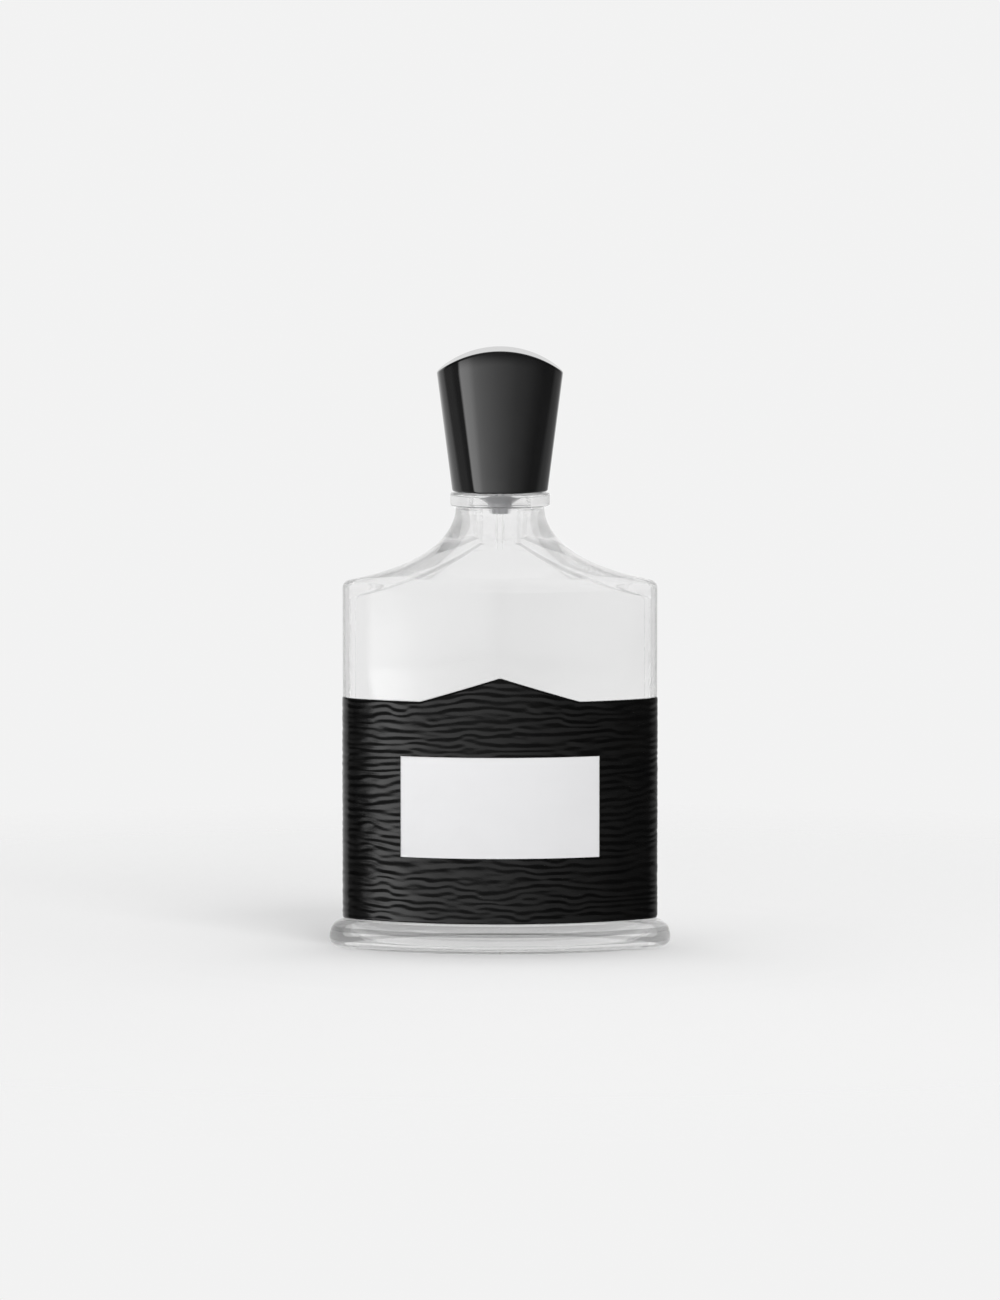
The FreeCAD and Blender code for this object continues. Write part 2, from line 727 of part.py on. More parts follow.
def actuator_shell():
    """Aluminium shell over the spray button, with a window for the nozzle."""
    shell = rod(BUTTON_RADIUS, BUTTON_BOTTOM, BUTTON_TOP)
    shell = shell.makeFillet(BUTTON_ROUND + BUTTON_SHEET, circle_edges(shell, BUTTON_RADIUS, BUTTON_TOP))
    inner = BUTTON_RADIUS - BUTTON_SHEET
    inside = rod(inner, BUTTON_BOTTOM - 1, BUTTON_TOP - BUTTON_SHEET)
    inside = inside.makeFillet(BUTTON_ROUND, circle_edges(inside, inner, BUTTON_TOP - BUTTON_SHEET))
    return shell.cut(inside).cut(forward_rod(NOZZLE_WINDOW, 0, BUTTON_RADIUS + 1))


def nozzle_insert():
    """Nozzle pressed into the front of the button, with a dished face and an orifice."""
    back = BUTTON_RADIUS - NOZZLE_DEPTH + FIT_GAP
    face = BUTTON_RADIUS - BUTTON_SHEET
    insert = forward_rod(NOZZLE_RADIUS, back, face)
    dish = forward_rod(NOZZLE_DISH_RADIUS, face - NOZZLE_DISH_DEPTH, face + 1)
    return insert.cut([dish, forward_rod(NOZZLE_ORIFICE, 0, face + 1)])


# Cap

def arch():
    """Slab under the cap's arched crown, running front to back."""
    rise = CAP_CROWN - CAP_CORNER_HEIGHT
    radius = (CAP_CORNER_HALF_WIDTH ** 2 + rise ** 2) / (2 * rise)
    half = CAP_CORNER_HALF_WIDTH * 1.3
    spring_line = CAP_CROWN - radius + math.sqrt(radius ** 2 - half ** 2)
    left = Vector(-half, -OVERSIZE / 2, spring_line)
    right = Vector(half, -OVERSIZE / 2, spring_line)
    low_left = Vector(-half, -OVERSIZE / 2, CAP_BOTTOM - 1)
    low_right = Vector(half, -OVERSIZE / 2, CAP_BOTTOM - 1)
    crown = Vector(0, -OVERSIZE / 2, CAP_CROWN)
    wire = Part.Wire([
        arc(left, crown, right),
        line(right, low_right),
        line(low_right, low_left),
        line(low_left, left),
    ])
    return Part.Face(wire).extrude(Vector(0, OVERSIZE, 0))


def cap_block():
    """Outside of the cap: flared from a round mouth to a cushion, under the arch, with eased edges."""
    top = CAP_CROWN + 1
    flare = (CAP_CORNER_HALF_WIDTH - CAP_MOUTH_RADIUS) / (CAP_CORNER_HEIGHT - CAP_BOTTOM)
    half_width = CAP_MOUTH_RADIUS + flare * (top - CAP_BOTTOM)
    cushion = cushion_section(
        half_width, CAP_TOP_HALF_DEPTH, CAP_FACE_RADIUS, CAP_SIDE_RADIUS, CAP_CORNER_RADIUS, top
    )
    block = Part.makeLoft([round_section(CAP_MOUTH_RADIUS, CAP_BOTTOM), cushion], True, True)
    block = block.common(arch())
    crown_edges = [e for e in block.Edges if e.BoundBox.ZMin > CAP_CORNER_HEIGHT - 2]
    return block.makeFillet(CAP_EDGE_ROUND, crown_edges + flat_edges(block, CAP_BOTTOM))


def cap_shell():
    """Glossy black outer cap, bored for the liner and the weight."""
    bore = rod(CAP_BORE, CAP_BOTTOM - 1, CAP_BORE_TOP)
    pocket = rod(WEIGHT_POCKET_RADIUS, CAP_BORE_TOP - 1, WEIGHT_POCKET_TOP)
    return cap_block().cut(bore.fuse(pocket))


def cap_weight():
    """Steel disc that gives the cap its heft."""
    disc = rod(WEIGHT_RADIUS, WEIGHT_BOTTOM, WEIGHT_TOP)
    edges = circle_edges(disc, WEIGHT_RADIUS, WEIGHT_BOTTOM) + circle_edges(disc, WEIGHT_RADIUS, WEIGHT_TOP)
    return disc.makeChamfer(WEIGHT_CHAMFER, edges)


def cap_liner():
    """Plastic inner cap with ribs that grip the collar."""
    cup = turned([
        (LINER_INNER, LINER_BOTTOM),
        (LINER_OUTER, LINER_BOTTOM),
        (LINER_OUTER, LINER_TOP),
        (0, LINER_TOP),
        (0, LINER_CEILING),
        (LINER_INNER, LINER_CEILING),
    ])
    rib = Part.makeBox(
        LINER_INNER - LINER_RIB_REACH + 0.3,
        LINER_RIB_WIDTH,
        LINER_RIB_TOP - LINER_BOTTOM - 1,
        Vector(LINER_RIB_REACH, -LINER_RIB_WIDTH / 2, LINER_BOTTOM + 1),
    )
    for i in range(LINER_RIBS):
        turn = rib.copy()
        turn.rotate(Vector(0, 0, 0), UP, 360 / LINER_RIBS * i)
        cup = cup.fuse(turn)
    return cup.removeSplitter()


PIECES = (
    glass_bottle,
    aftershave_liquid,
    wrap_backing,
    leather_wrap,
    front_plate,
    neck_gasket,
    pump_housing,
    inlet_ball,
    dip_tube,
    return_spring,
    piston,
    stem,
    stem_seal,
    ferrule,
    collar,
    actuator_core,
    actuator_shell,
    nozzle_insert,
    cap_shell,
    cap_weight,
    cap_liner,
)


def main():
    """Builds every piece, writes it and prints its volume."""
    os.makedirs("parts", exist_ok=True)
    for piece in PIECES:
        shape = piece()
        solids = shape.Solids
        state = "valid" if shape.isValid() else "NOT VALID"
        volume = sum(s.Volume for s in solids)
        print(f"{piece.__name__}: {len(solids)} solid, {state}, {volume:.1f} mm3")
        body = solids[0] if len(solids) == 1 else Part.Compound(solids)
        body.exportStep(f"parts/{piece.__name__}.step")
    print(f"brimful to the roof {cavity(0.0).Volume / 1000:.1f} ml")


if __name__ == "__main__":
    main()
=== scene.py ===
"""Aftershave bottle: the looks of its pieces, a plain studio and the camera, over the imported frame."""

import math

import bpy
import numpy as np
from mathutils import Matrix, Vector

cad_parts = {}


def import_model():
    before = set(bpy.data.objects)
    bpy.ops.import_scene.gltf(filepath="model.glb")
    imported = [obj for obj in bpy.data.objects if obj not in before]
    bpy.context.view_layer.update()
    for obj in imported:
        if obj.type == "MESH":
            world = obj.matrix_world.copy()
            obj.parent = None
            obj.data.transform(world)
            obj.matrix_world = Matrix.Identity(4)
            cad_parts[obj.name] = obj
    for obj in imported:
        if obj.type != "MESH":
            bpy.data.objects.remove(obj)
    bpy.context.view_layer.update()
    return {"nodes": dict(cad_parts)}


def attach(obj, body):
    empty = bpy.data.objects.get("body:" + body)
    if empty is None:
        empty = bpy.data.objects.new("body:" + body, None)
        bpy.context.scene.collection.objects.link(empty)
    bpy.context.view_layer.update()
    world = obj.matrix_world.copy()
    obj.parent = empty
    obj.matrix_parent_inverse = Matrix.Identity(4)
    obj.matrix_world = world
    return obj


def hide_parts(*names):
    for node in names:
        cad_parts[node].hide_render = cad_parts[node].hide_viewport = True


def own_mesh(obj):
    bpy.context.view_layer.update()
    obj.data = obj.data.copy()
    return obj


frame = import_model()
MM = 0.001

# Sizes of the solids, in millimetres
BODY = (35.5, 17.0, 55.0, 60.0, 7.0)
FOOT_OVERHANG = 3.1
FOOT_LOWER_ROUND = 2.2
FOOT_UPPER_ROUND = 3.8
FOOT_HEIGHT = 6.2
# Share of the foot's upper round, from and to, where the glass is darkened as a painted reflection of the
# dark wrap
FOOT_PAINTED_REFLECTION = (0.24, 0.5)
WALL_TOP = 72.0
PUSH_UP_INSET = 5.0
PUSH_UP_DEPTH = 0.7
PUSH_UP_ROUND = 0.63
NECK_RADIUS = 10.0
SHOULDER_TOP = 99.4
SHOULDER_REACH = 35.0
SHOULDER_DROP = 17.5
SHOULDER_ROUND = 1.6
SHOULDER_NECK_CORNER = 9.7
EASE_BEND = 0.22
NECK_SIDE_SLACK = 0.2
RING_RADIUS = 11.25
RING_BOTTOM = 99.7
RING_TOP = 102.7
RING_ROUND = 0.7
FINISH_RADIUS = 6.65
BEAD_RADIUS = 7.5
BEAD_BOTTOM = 106.0
BEAD_CHAMFER = 0.7
GLASS_TOP = 109.0
BORE_RADIUS = 4.7
CAVITY = (32.7, 14.2, 52.2, 57.2, 4.2)
CAVITY_FLOOR = 10.5
CAVITY_FLOOR_ROUND = 2.5
CAVITY_LEVELS = (22.0, 34.0, 46.0, 58.0, 70.0)
ROOF_TOP = 91.3
ROOF_EAVES = 83.5
ROOF_CROWN = 95.0
ROOF_RADIUS = 88.0
ROOF_START = 57.0
ROOF_ROUND = 2.0
ROOF_NECK_CORNER = 3.2
LIQUID_GAP = 0.05
LIQUID_LEVEL = 90.0
WRAP_RECESS = 0.8
WRAP_PROUD = 0.2
WRAP_INNER = -0.63
WRAP_BOTTOM = 6.6
WRAP_TOP = 56.6
WRAP_PEAK = 62.1
WRAP_PEAK_HALF_WIDTH = 18.0
WRAP_BACK = 53.6
WRAP_FALL = 10.0
WRAP_EDGE_GAP = 0.05
WRAP_SEAM = 0.08
WRAP_ROLL_DEPTH = 0.2
WRAP_ROLL_WIDTH = 0.45
RIDGE_PITCH = 1.7
RIDGE_DEPTH = 0.05
RIDGE_CLEAR = 0.01
RIDGE_MEAN, RIDGE_REGULAR, RIDGE_LOOSE = 2.1, 0.5, 0.6
PLATE_HALF_WIDTH = 22.3
PLATE_BOTTOM = 21.5
PLATE_TOP = 44.2
PLATE_INNER = 0.22
PLATE_OUTER = 0.72
PLATE_ROUND = 0.14
PLATE_MARGIN = 0.6
TUBE_RADIUS = 0.85
TUBE_BORE = 0.5
TUBE_BOTTOM = 11.4
TUBE_TOP = 100.28
TUBE_NOTCH_ANGLE = 35.0
TUBE_NOTCH_TOP = 14.0
SPRING_RADIUS = 2.2
SPRING_WIRE = 0.4
SPRING_TURNS = 5
SPRING_BOTTOM = 103.22
SPRING_TOP = 109.78
COLLAR_OUTER = 8.6
COLLAR_INNER = 8.2
COLLAR_BOTTOM = 102.75
COLLAR_TOP = 114.8
COLLAR_SHEET = 0.4
COLLAR_MOUTH = 6.75
COLLAR_ROUND = 0.35
COLLAR_JOIN = 108.0
CAP_BOTTOM = 102.95
CAP_MOUTH_RADIUS = 10.75
CAP_CROWN = 135.0
CAP_CORNER_HEIGHT = 129.9
CAP_CORNER_HALF_WIDTH = 14.25
CAP_TOP = (12.0, 18.5, 16.5, 6.5)
CAP_EDGE_ROUND = 0.5
CAP_BORE = 9.6
CAP_BORE_TOP = 128.1
CAP_BORE_BEVEL = (0.08, 0.2)
WEIGHT_POCKET_RADIUS = 8.4
WEIGHT_POCKET_TOP = 131.2

# Fineness of the meshes; the first three are points on the face, corner and side of a quarter section
FACE_STEPS, CORNER_STEPS, SIDE_STEPS = 26, 14, 8
ROUND_STEPS = 9
SHOULDER_STEPS = 45
LEATHER_COLUMNS, LEATHER_ROWS = 300, 325
PLATE_COLUMNS, PLATE_ROWS = 60, 24
WIRE_STEPS, COIL_STEPS = 12, 40
FLOOR_STEPS = 96
NOISE_SIZE = 128


# Sections: rings of points that start at the back and run clockwise as seen from above

def ring(quarter):
    """Full ring from the points of one quarter, which run from the back to the right."""
    q = np.array(quarter)
    parts = [q, q[::-1][1:] * (1, -1), q[1:] * (-1, -1), q[::-1][1:-1] * (-1, 1)]
    return np.concatenate(parts)


def arc(cx, cy, radius, start, end, steps, last=False):
    """Points of an arc; its angles are measured from +Y towards +X."""
    angles = np.linspace(start, end, steps + 1)[:steps + 1 if last else steps]
    return [(cx + radius * math.sin(a), cy + radius * math.cos(a)) for a in angles]


def corner_of(half_width, half_depth, face, side, corner):
    """Centre of a cushion's rounded corner, and the angles at which it meets the face and the side."""
    face_centre = face - half_depth
    side_centre = half_width - side
    to_face, to_side = face - corner, side - corner
    gap = math.hypot(side_centre, face_centre)
    along = (to_face ** 2 - to_side ** 2 + gap ** 2) / (2 * gap)
    across = math.sqrt(to_face ** 2 - along ** 2)
    ux, uy = side_centre / gap, face_centre / gap
    options = [(along * ux - s * across * uy, -face_centre + along * uy + s * across * ux) for s in (1, -1)]
    cx, cy = max(options, key=sum)
    return cx, cy, math.atan2(cx, cy + face_centre), math.atan2(cx - side_centre, cy)


def cushion(half_width, half_depth, face, side, corner):
    """Section with convex faces and sides and rounded corners."""
    cx, cy, at_face, at_side = corner_of(half_width, half_depth, face, side, corner)
    return ring(
        arc(0.0, half_depth - face, face, 0.0, at_face, FACE_STEPS)
        + arc(cx, cy, corner, at_face, at_side, CORNER_STEPS)
        + arc(half_width - side, 0.0, side, at_side, math.pi / 2, SIDE_STEPS, last=True)
    )


def circle(radius, at_face=math.radians(24), at_side=math.radians(80)):
    """Round section, with its points where those of a cushion with these angles lie."""
    return ring(
        arc(0.0, 0.0, radius, 0.0, at_face, FACE_STEPS)
        + arc(0.0, 0.0, radius, at_face, at_side, CORNER_STEPS)
        + arc(0.0, 0.0, radius, at_side, math.pi / 2, SIDE_STEPS, last=True)
    )


def grown(section, outward):
    """A cushion's sizes, moved outward by that much."""
    return [value + outward for value in section]


def body(outward):
    """Ring of the body's outline, moved outward."""
    return cushion(*grown(BODY, outward))


def at(points, z):
    """Points of a section at one height, or at a height for each point."""
    return np.column_stack([points, np.broadcast_to(z, len(points))])


def ease(u):
    """Smooth fall from 1 to 0 as u goes from 0 to 1, straight between two bends."""
    fall = 1 / (1 - EASE_BEND)
    if u < EASE_BEND:
        return 1 - fall * u * u / (2 * EASE_BEND)
    if u > 1 - EASE_BEND:
        return fall * (1 - u) ** 2 / (2 * EASE_BEND)
    return 1 - fall * (u - EASE_BEND / 2)


def shoulder(section, neck, reach, drop, top, corner_round, start, neck_corner, stop=None):
    """Rings from a cushion up a round corner and along an ellipse to a round neck.

    start is the angle on the ellipse at the neck, neck_corner the corner radius just below it, and stop a
    height that gets a ring of its own.
    """
    full_width, full_depth, face, side, corner = section

    def ellipse(angle):
        x = neck + reach * (math.cos(start) - math.cos(angle))
        return x, top - drop * (math.sin(angle) - math.sin(start))

    def round_centre(angle):
        x, z = ellipse(angle)
        fall = math.atan2(drop * math.cos(angle), reach * math.sin(angle))
        return x - math.sin(fall) * corner_round, z - math.cos(fall) * corner_round, fall

    low, high = 0.5, math.pi / 2
    for _ in range(60):
        angle = (low + high) / 2
        if round_centre(angle)[0] > full_width - corner_round:
            high = angle
        else:
            low = angle
    centre_x, centre_z, fall = round_centre(angle)
    profile = []
    for turn in np.linspace(0, math.pi / 2 - fall, ROUND_STEPS)[:-1]:
        profile.append((centre_x + corner_round * math.cos(turn), centre_z + corner_round * math.sin(turn)))
    angles = set(np.linspace(angle, start, SHOULDER_STEPS))
    if stop is not None:
        angles.add(math.asin((top - stop) / drop + math.sin(start)))
    profile += [ellipse(a) for a in sorted(angles, reverse=True)]
    bottom = profile[0][1]
    rings = [at(cushion(*section), bottom)]
    for half_width, z in profile[1:-1]:
        half_depth = neck + (full_depth - neck) * ease((z - bottom) / (top - bottom))
        share = (half_width - neck) / (full_width - neck)
        points = cushion(
            half_width,
            half_depth,
            neck + (face - neck) * share + (half_width - half_depth) * (1 - share),
            half_width + (side - full_width) * share + NECK_SIDE_SLACK * (1 - share),
            corner + (neck_corner - corner) * (1 - share),
        )
        rings.append(at(points, z))
    rings.append(at(circle(neck), top))
    return rings


def cavity(gap, stop):
    """Rings of the flask's inside from the edge of its flat floor up to the bore."""
    section = grown(CAVITY, -gap)
    floor = CAVITY_FLOOR + gap
    rings = []
    for turn in np.linspace(0, math.pi / 2, ROUND_STEPS):
        inset = CAVITY_FLOOR_ROUND * (1 - math.sin(turn))
        rings.append(at(cushion(*grown(section, -inset)), floor + CAVITY_FLOOR_ROUND * (1 - math.cos(turn))))
    rings += [at(cushion(*section), z) for z in CAVITY_LEVELS]
    return rings + shoulder(
        section, BORE_RADIUS - gap, ROOF_RADIUS, ROOF_RADIUS, ROOF_TOP - gap, ROOF_ROUND,
        math.radians(ROOF_START), ROOF_NECK_CORNER - gap, stop,
    )


def wrap_top(points):
    """Height of the wrap's upper edge, which rises to a peak in front and is lower at the back."""
    x, y = points[:, 0], points[:, 1]
    rise = np.where(y < 0, np.clip(1 - np.abs(x) / WRAP_PEAK_HALF_WIDTH, 0, 1), 0)
    fall = np.clip(y / WRAP_FALL, 0, 1)
    return WRAP_TOP + (WRAP_PEAK - WRAP_TOP) * rise - (WRAP_TOP - WRAP_BACK) * fall


# Meshes

def piece(name, points, faces, materials, face_materials=None, sharp=30.0):
    """Object from points in millimetres."""
    mesh = bpy.data.meshes.new(name)
    mesh.from_pydata((np.asarray(points) * MM).tolist(), [], [tuple(map(int, f)) for f in faces])
    mesh.update()
    for one in materials:
        mesh.materials.append(one)
    if face_materials is not None:
        mesh.polygons.foreach_set("material_index", np.asarray(face_materials, dtype=np.int32))
    mesh.polygons.foreach_set("use_smooth", np.ones(len(mesh.polygons), dtype=bool))
    mesh.set_sharp_from_angle(angle=math.radians(sharp))
    if mesh.validate():
        print("mended", name)
    obj = bpy.data.objects.new(name, mesh)
    bpy.context.scene.collection.objects.link(obj)
    return obj


def stack(name, rings, materials, ring_materials=None, start=None, end=None, sharp=30.0):
    """Closed object from a stack of rings; start and end are heights of the points that close its two ends.

    ring_materials gives the material index of the band above each ring.
    """
    count = len(rings[0])
    points = [p for r in rings for p in r]
    faces, indices = [], []
    following = np.roll(np.arange(count), -1)
    for i in range(len(rings) - 1):
        low, high = i * count, (i + 1) * count
        faces += [(low + j, high + j, high + k, low + k) for j, k in enumerate(following)]
        indices += [0 if ring_materials is None else ring_materials[i]] * count
    for height, first, flip in ((start, 0, False), (end, (len(rings) - 1) * count, True)):
        if height is None:
            continue
        tip = len(points)
        points.append((0.0, 0.0, height))
        for j, k in enumerate(following):
            faces.append((tip, first + k, first + j) if flip else (tip, first + j, first + k))
        indices += [0 if ring_materials is None else ring_materials[-1 if flip else 0]] * count
    return piece(name, points, faces, materials, indices, sharp)


def loop(name, rings, materials, ring_materials=None, sharp=30.0):
    """Closed object from a stack of rings whose last ring joins the first, such as a turned tube."""
    return stack(name, rings + rings[:1], materials, ring_materials, sharp=sharp)


def turned(profile):
    """Rings of a profile of (radius, height) points."""
    return [at(circle(radius), z) for radius, z in profile]


def rounded(profile, radius, steps=5):
    """A profile with its inner corners replaced by short rounds."""
    out = [profile[0]]
    for before, corner, after in zip(profile, profile[1:], profile[2:]):
        c = np.array(corner, float)
        a, b = np.array(before, float) - c, np.array(after, float) - c
        reach = min(radius, np.linalg.norm(a) * 0.45, np.linalg.norm(b) * 0.45)
        a, b = c + a / np.linalg.norm(a) * reach, c + b / np.linalg.norm(b) * reach
        for t in np.linspace(0, 1, steps):
            out.append(tuple(a * (1 - t) ** 2 + 2 * c * t * (1 - t) + b * t ** 2))
    return out + [profile[-1]]


def smooth_noise(u, v, seed):
    """Smooth noise between -1 and 1 over a plane, the same on each run."""
    table = np.random.default_rng(seed).uniform(-1, 1, (NOISE_SIZE, NOISE_SIZE))
    iu, iv = np.floor(u).astype(int), np.floor(v).astype(int)
    fu, fv = u - iu, v - iv
    fu, fv = fu * fu * fu * (fu * (fu * 6 - 15) + 10), fv * fv * fv * (fv * (fv * 6 - 15) + 10)
    iu, iv, ju, jv = (index % NOISE_SIZE for index in (iu, iv, iu + 1, iv + 1))
    low = table[iu, iv] * (1 - fu) + table[ju, iv] * fu
    high = table[iu, jv] * (1 - fu) + table[ju, jv] * fu
    return low * (1 - fv) + high * fv


# Materials

def new_material(name, **sockets):
    """Principled material with the sockets set by name, and its node tree and shader."""
    material = bpy.data.materials.new(name)
    material.use_nodes = True
    tree = material.node_tree
    shader = tree.nodes["Principled BSDF"]
    for key, value in sockets.items():
        shader.inputs[key.replace("_", " ")].default_value = value
    return material, tree, shader


def texture(tree, scale, detail=3.0, stretch=(1, 1, 1), kind="ShaderNodeTexNoise"):
    """Noise in the object's own coordinates, drawn out along its axes."""
    place = tree.nodes.new("ShaderNodeTexCoord")
    mapping = tree.nodes.new("ShaderNodeMapping")
    mapping.inputs["Scale"].default_value = stretch
    node = tree.nodes.new(kind)
    node.inputs["Scale"].default_value = scale
    if "Detail" in node.inputs:
        node.inputs["Detail"].default_value = detail
    tree.links.new(place.outputs["Object"], mapping.inputs["Vector"])
    tree.links.new(mapping.outputs["Vector"], node.inputs["Vector"])
    return node


def ranged(tree, source, low, high, start=0.3, end=0.7):
    """Output that runs from low to high as source goes from start to end."""
    node = tree.nodes.new("ShaderNodeMapRange")
    for key, value in (("From Min", start), ("From Max", end), ("To Min", low), ("To Max", high)):
        node.inputs[key].default_value = value
    tree.links.new(source, node.inputs["Value"])
    return node.outputs["Result"]


def bumped(tree, shader, height, distance, strength=1.0):
    """Adds a bump of that depth in metres to a shader."""
    node = tree.nodes.new("ShaderNodeBump")
    node.inputs["Distance"].default_value = distance
    node.inputs["Strength"].default_value = strength
    tree.links.new(height, node.inputs["Height"])
    previous = shader.inputs["Normal"].links
    if previous:
        tree.links.new(previous[0].from_socket, node.inputs["Normal"])
    tree.links.new(node.outputs["Normal"], shader.inputs["Normal"])


def tinted(tree, shader, source, low, high, start=0.3, end=0.7):
    """Lets the base colour vary between two colours."""
    node = tree.nodes.new("ShaderNodeValToRGB")
    node.color_ramp.elements[0].position = start
    node.color_ramp.elements[1].position = end
    node.color_ramp.elements[0].color = (*low, 1)
    node.color_ramp.elements[1].color = (*high, 1)
    tree.links.new(source, node.inputs["Fac"])
    tree.links.new(node.outputs["Color"], shader.inputs["Base Color"])


def glass_material(name, ior, alpha, tint=1.0, wavy=False, cloud=0.0, **sockets):
    """Clear material, which lets lamps reach what lies behind it.

    ior is set against what lies on its other side. alpha is the share of the light that it bends and tints:
    the rest goes straight on, which keeps thick edges pale. wavy gives it the uneven surface of moulded
    glass, and cloud lets its tint vary by that much.
    """
    material, tree, shader = new_material(
        name, Base_Color=(tint, tint, tint, 1), Roughness=0.0, IOR=ior, Transmission_Weight=1.0, Alpha=alpha,
        **sockets
    )
    clear = tree.nodes.new("ShaderNodeBsdfTransparent")
    path = tree.nodes.new("ShaderNodeLightPath")
    through = tree.nodes.new("ShaderNodeMixShader")
    tree.links.new(path.outputs["Is Shadow Ray"], through.inputs["Fac"])
    tree.links.new(shader.outputs["BSDF"], through.inputs[1])
    tree.links.new(clear.outputs["BSDF"], through.inputs[2])
    tree.links.new(through.outputs["Shader"], tree.nodes["Material Output"].inputs["Surface"])
    if wavy:
        wave = texture(tree, 45.0, 1.0)
        bumped(tree, shader, wave.outputs["Fac"], 0.00003, 0.5)
    if cloud:
        patch = texture(tree, 24.0, 1.0)
        tinted(tree, shader, patch.outputs["Fac"], (tint - cloud,) * 3, (tint + cloud,) * 3)
    return material


def leather_material():
    """Black leather: satin, with fine pores."""
    material, tree, shader = new_material(
        "leather_black", Base_Color=(0.006, 0.006, 0.006, 1), Roughness=0.2, Specular_IOR_Level=0.28
    )
    patch = texture(tree, 160.0, 4.0)
    tinted(tree, shader, patch.outputs["Fac"], (0.001, 0.001, 0.0011), (0.0028, 0.0027, 0.0026))
    gloss = texture(tree, 900.0, 3.0, (0.3, 0.3, 1))
    tree.links.new(ranged(tree, gloss.outputs["Fac"], 0.13, 0.21), shader.inputs["Roughness"])
    pores = texture(tree, 2600.0, 2.0, (1, 1, 1.6), "ShaderNodeTexVoronoi")
    bumped(tree, shader, pores.outputs["Distance"], 0.00001, 0.6)
    return material


def metal_material(name, colour, low, high, lines, depth, dimmed=0.94, metallic=1.0):
    """Metal with fine drawn or turned lines; lines is the stretch of their noise."""
    material, tree, shader = new_material(name, Base_Color=(*colour, 1), Metallic=metallic, Roughness=low)
    grain = texture(tree, 900.0, 4.0, lines)
    tree.links.new(ranged(tree, grain.outputs["Fac"], low, high), shader.inputs["Roughness"])
    bumped(tree, shader, grain.outputs["Fac"], depth, 0.5)
    dim = tuple(c * dimmed for c in colour)
    tinted(tree, shader, texture(tree, 120.0, 3.0).outputs["Fac"], dim, colour)
    return material


def plastic_material(name, low, high, rough_low, rough_high, depth, **sockets):
    """Moulded plastic with a fine texture and a slightly uneven colour."""
    material, tree, shader = new_material(name, Base_Color=(*high, 1), Roughness=rough_low, **sockets)
    cloud = texture(tree, 220.0, 3.0)
    tinted(tree, shader, cloud.outputs["Fac"], low, high)
    fine = texture(tree, 1800.0, 2.0)
    tree.links.new(ranged(tree, fine.outputs["Fac"], rough_low, rough_high), shader.inputs["Roughness"])
    bumped(tree, shader, fine.outputs["Fac"], depth, 0.4)
    return material


GLASS = glass_material("glass_clear", ior=1.36, alpha=0.5, tint=0.88, wavy=True)
GLASS_WALL = glass_material(
    "glass_wall", ior=1.25, alpha=0.5, tint=0.8, cloud=0.12, Coat_Weight=1.0, Coat_IOR=1.6
)
GLASS_EDGE = glass_material("glass_edge", ior=1.42, alpha=0.6, tint=0.92, wavy=True)
GLASS_RING = glass_material("glass_ring", ior=1.5, alpha=0.95, tint=0.88, wavy=True)
GLASS_BORE = glass_material("glass_bore", ior=1.2, alpha=0.2)
GLASS_ROOF = glass_material("glass_roof", ior=1.15, alpha=1.0)
GLASS_WET = glass_material("glass_wet", ior=1.04, alpha=0.45)
# Dark glass for a band of the foot: a painted reflection of the dark wrap
GLASS_PAINTED_REFLECTION = glass_material("glass_painted_reflection", ior=1.42, alpha=0.8, tint=0.3, wavy=True)
LIQUID_WALL = glass_material("liquid_wall", ior=1.0, alpha=0.08)
LIQUID_SURFACE = glass_material("liquid_surface", ior=1.25, alpha=0.6)
TUBE_WET = glass_material("tube_under_liquid", ior=1.004, alpha=1.0)
TUBE_DRY = glass_material("tube_clear", ior=1.36, alpha=1.0)
LEATHER = leather_material()
FILM = plastic_material("film_white", (0.86, 0.86, 0.85), (0.9, 0.9, 0.89), 0.45, 0.55, 0.00001)
PLATE = metal_material(
    "plate_satin", (0.93, 0.93, 0.94), 0.42, 0.5, (0.06, 0.06, 1.0), 0.000004, dimmed=0.985, metallic=0.16
)
ALUMINIUM = metal_material("aluminium_bright", (0.8, 0.8, 0.81), 0.2, 0.3, (0.05, 0.05, 1.0), 0.000004)
STEEL = metal_material("steel_bright", (0.6, 0.6, 0.62), 0.22, 0.32, (1, 1, 1), 0.000003)
RUBBER = plastic_material("gasket_grey", (0.66, 0.66, 0.65), (0.74, 0.74, 0.73), 0.6, 0.75, 0.00002)
PUMP = plastic_material("pump_grey", (0.34, 0.34, 0.35), (0.4, 0.4, 0.41), 0.35, 0.45, 0.00001)
BUTTON = plastic_material("button_white", (0.82, 0.82, 0.82), (0.88, 0.88, 0.88), 0.35, 0.45, 0.00001)
CAP = plastic_material("cap_black", (0.004, 0.004, 0.0042), (0.006, 0.006, 0.0062), 0.035, 0.05, 0.0000005)
LINER = plastic_material("liner_black", (0.018, 0.018, 0.018), (0.028, 0.028, 0.028), 0.4, 0.5, 0.00001)


# Glass flask

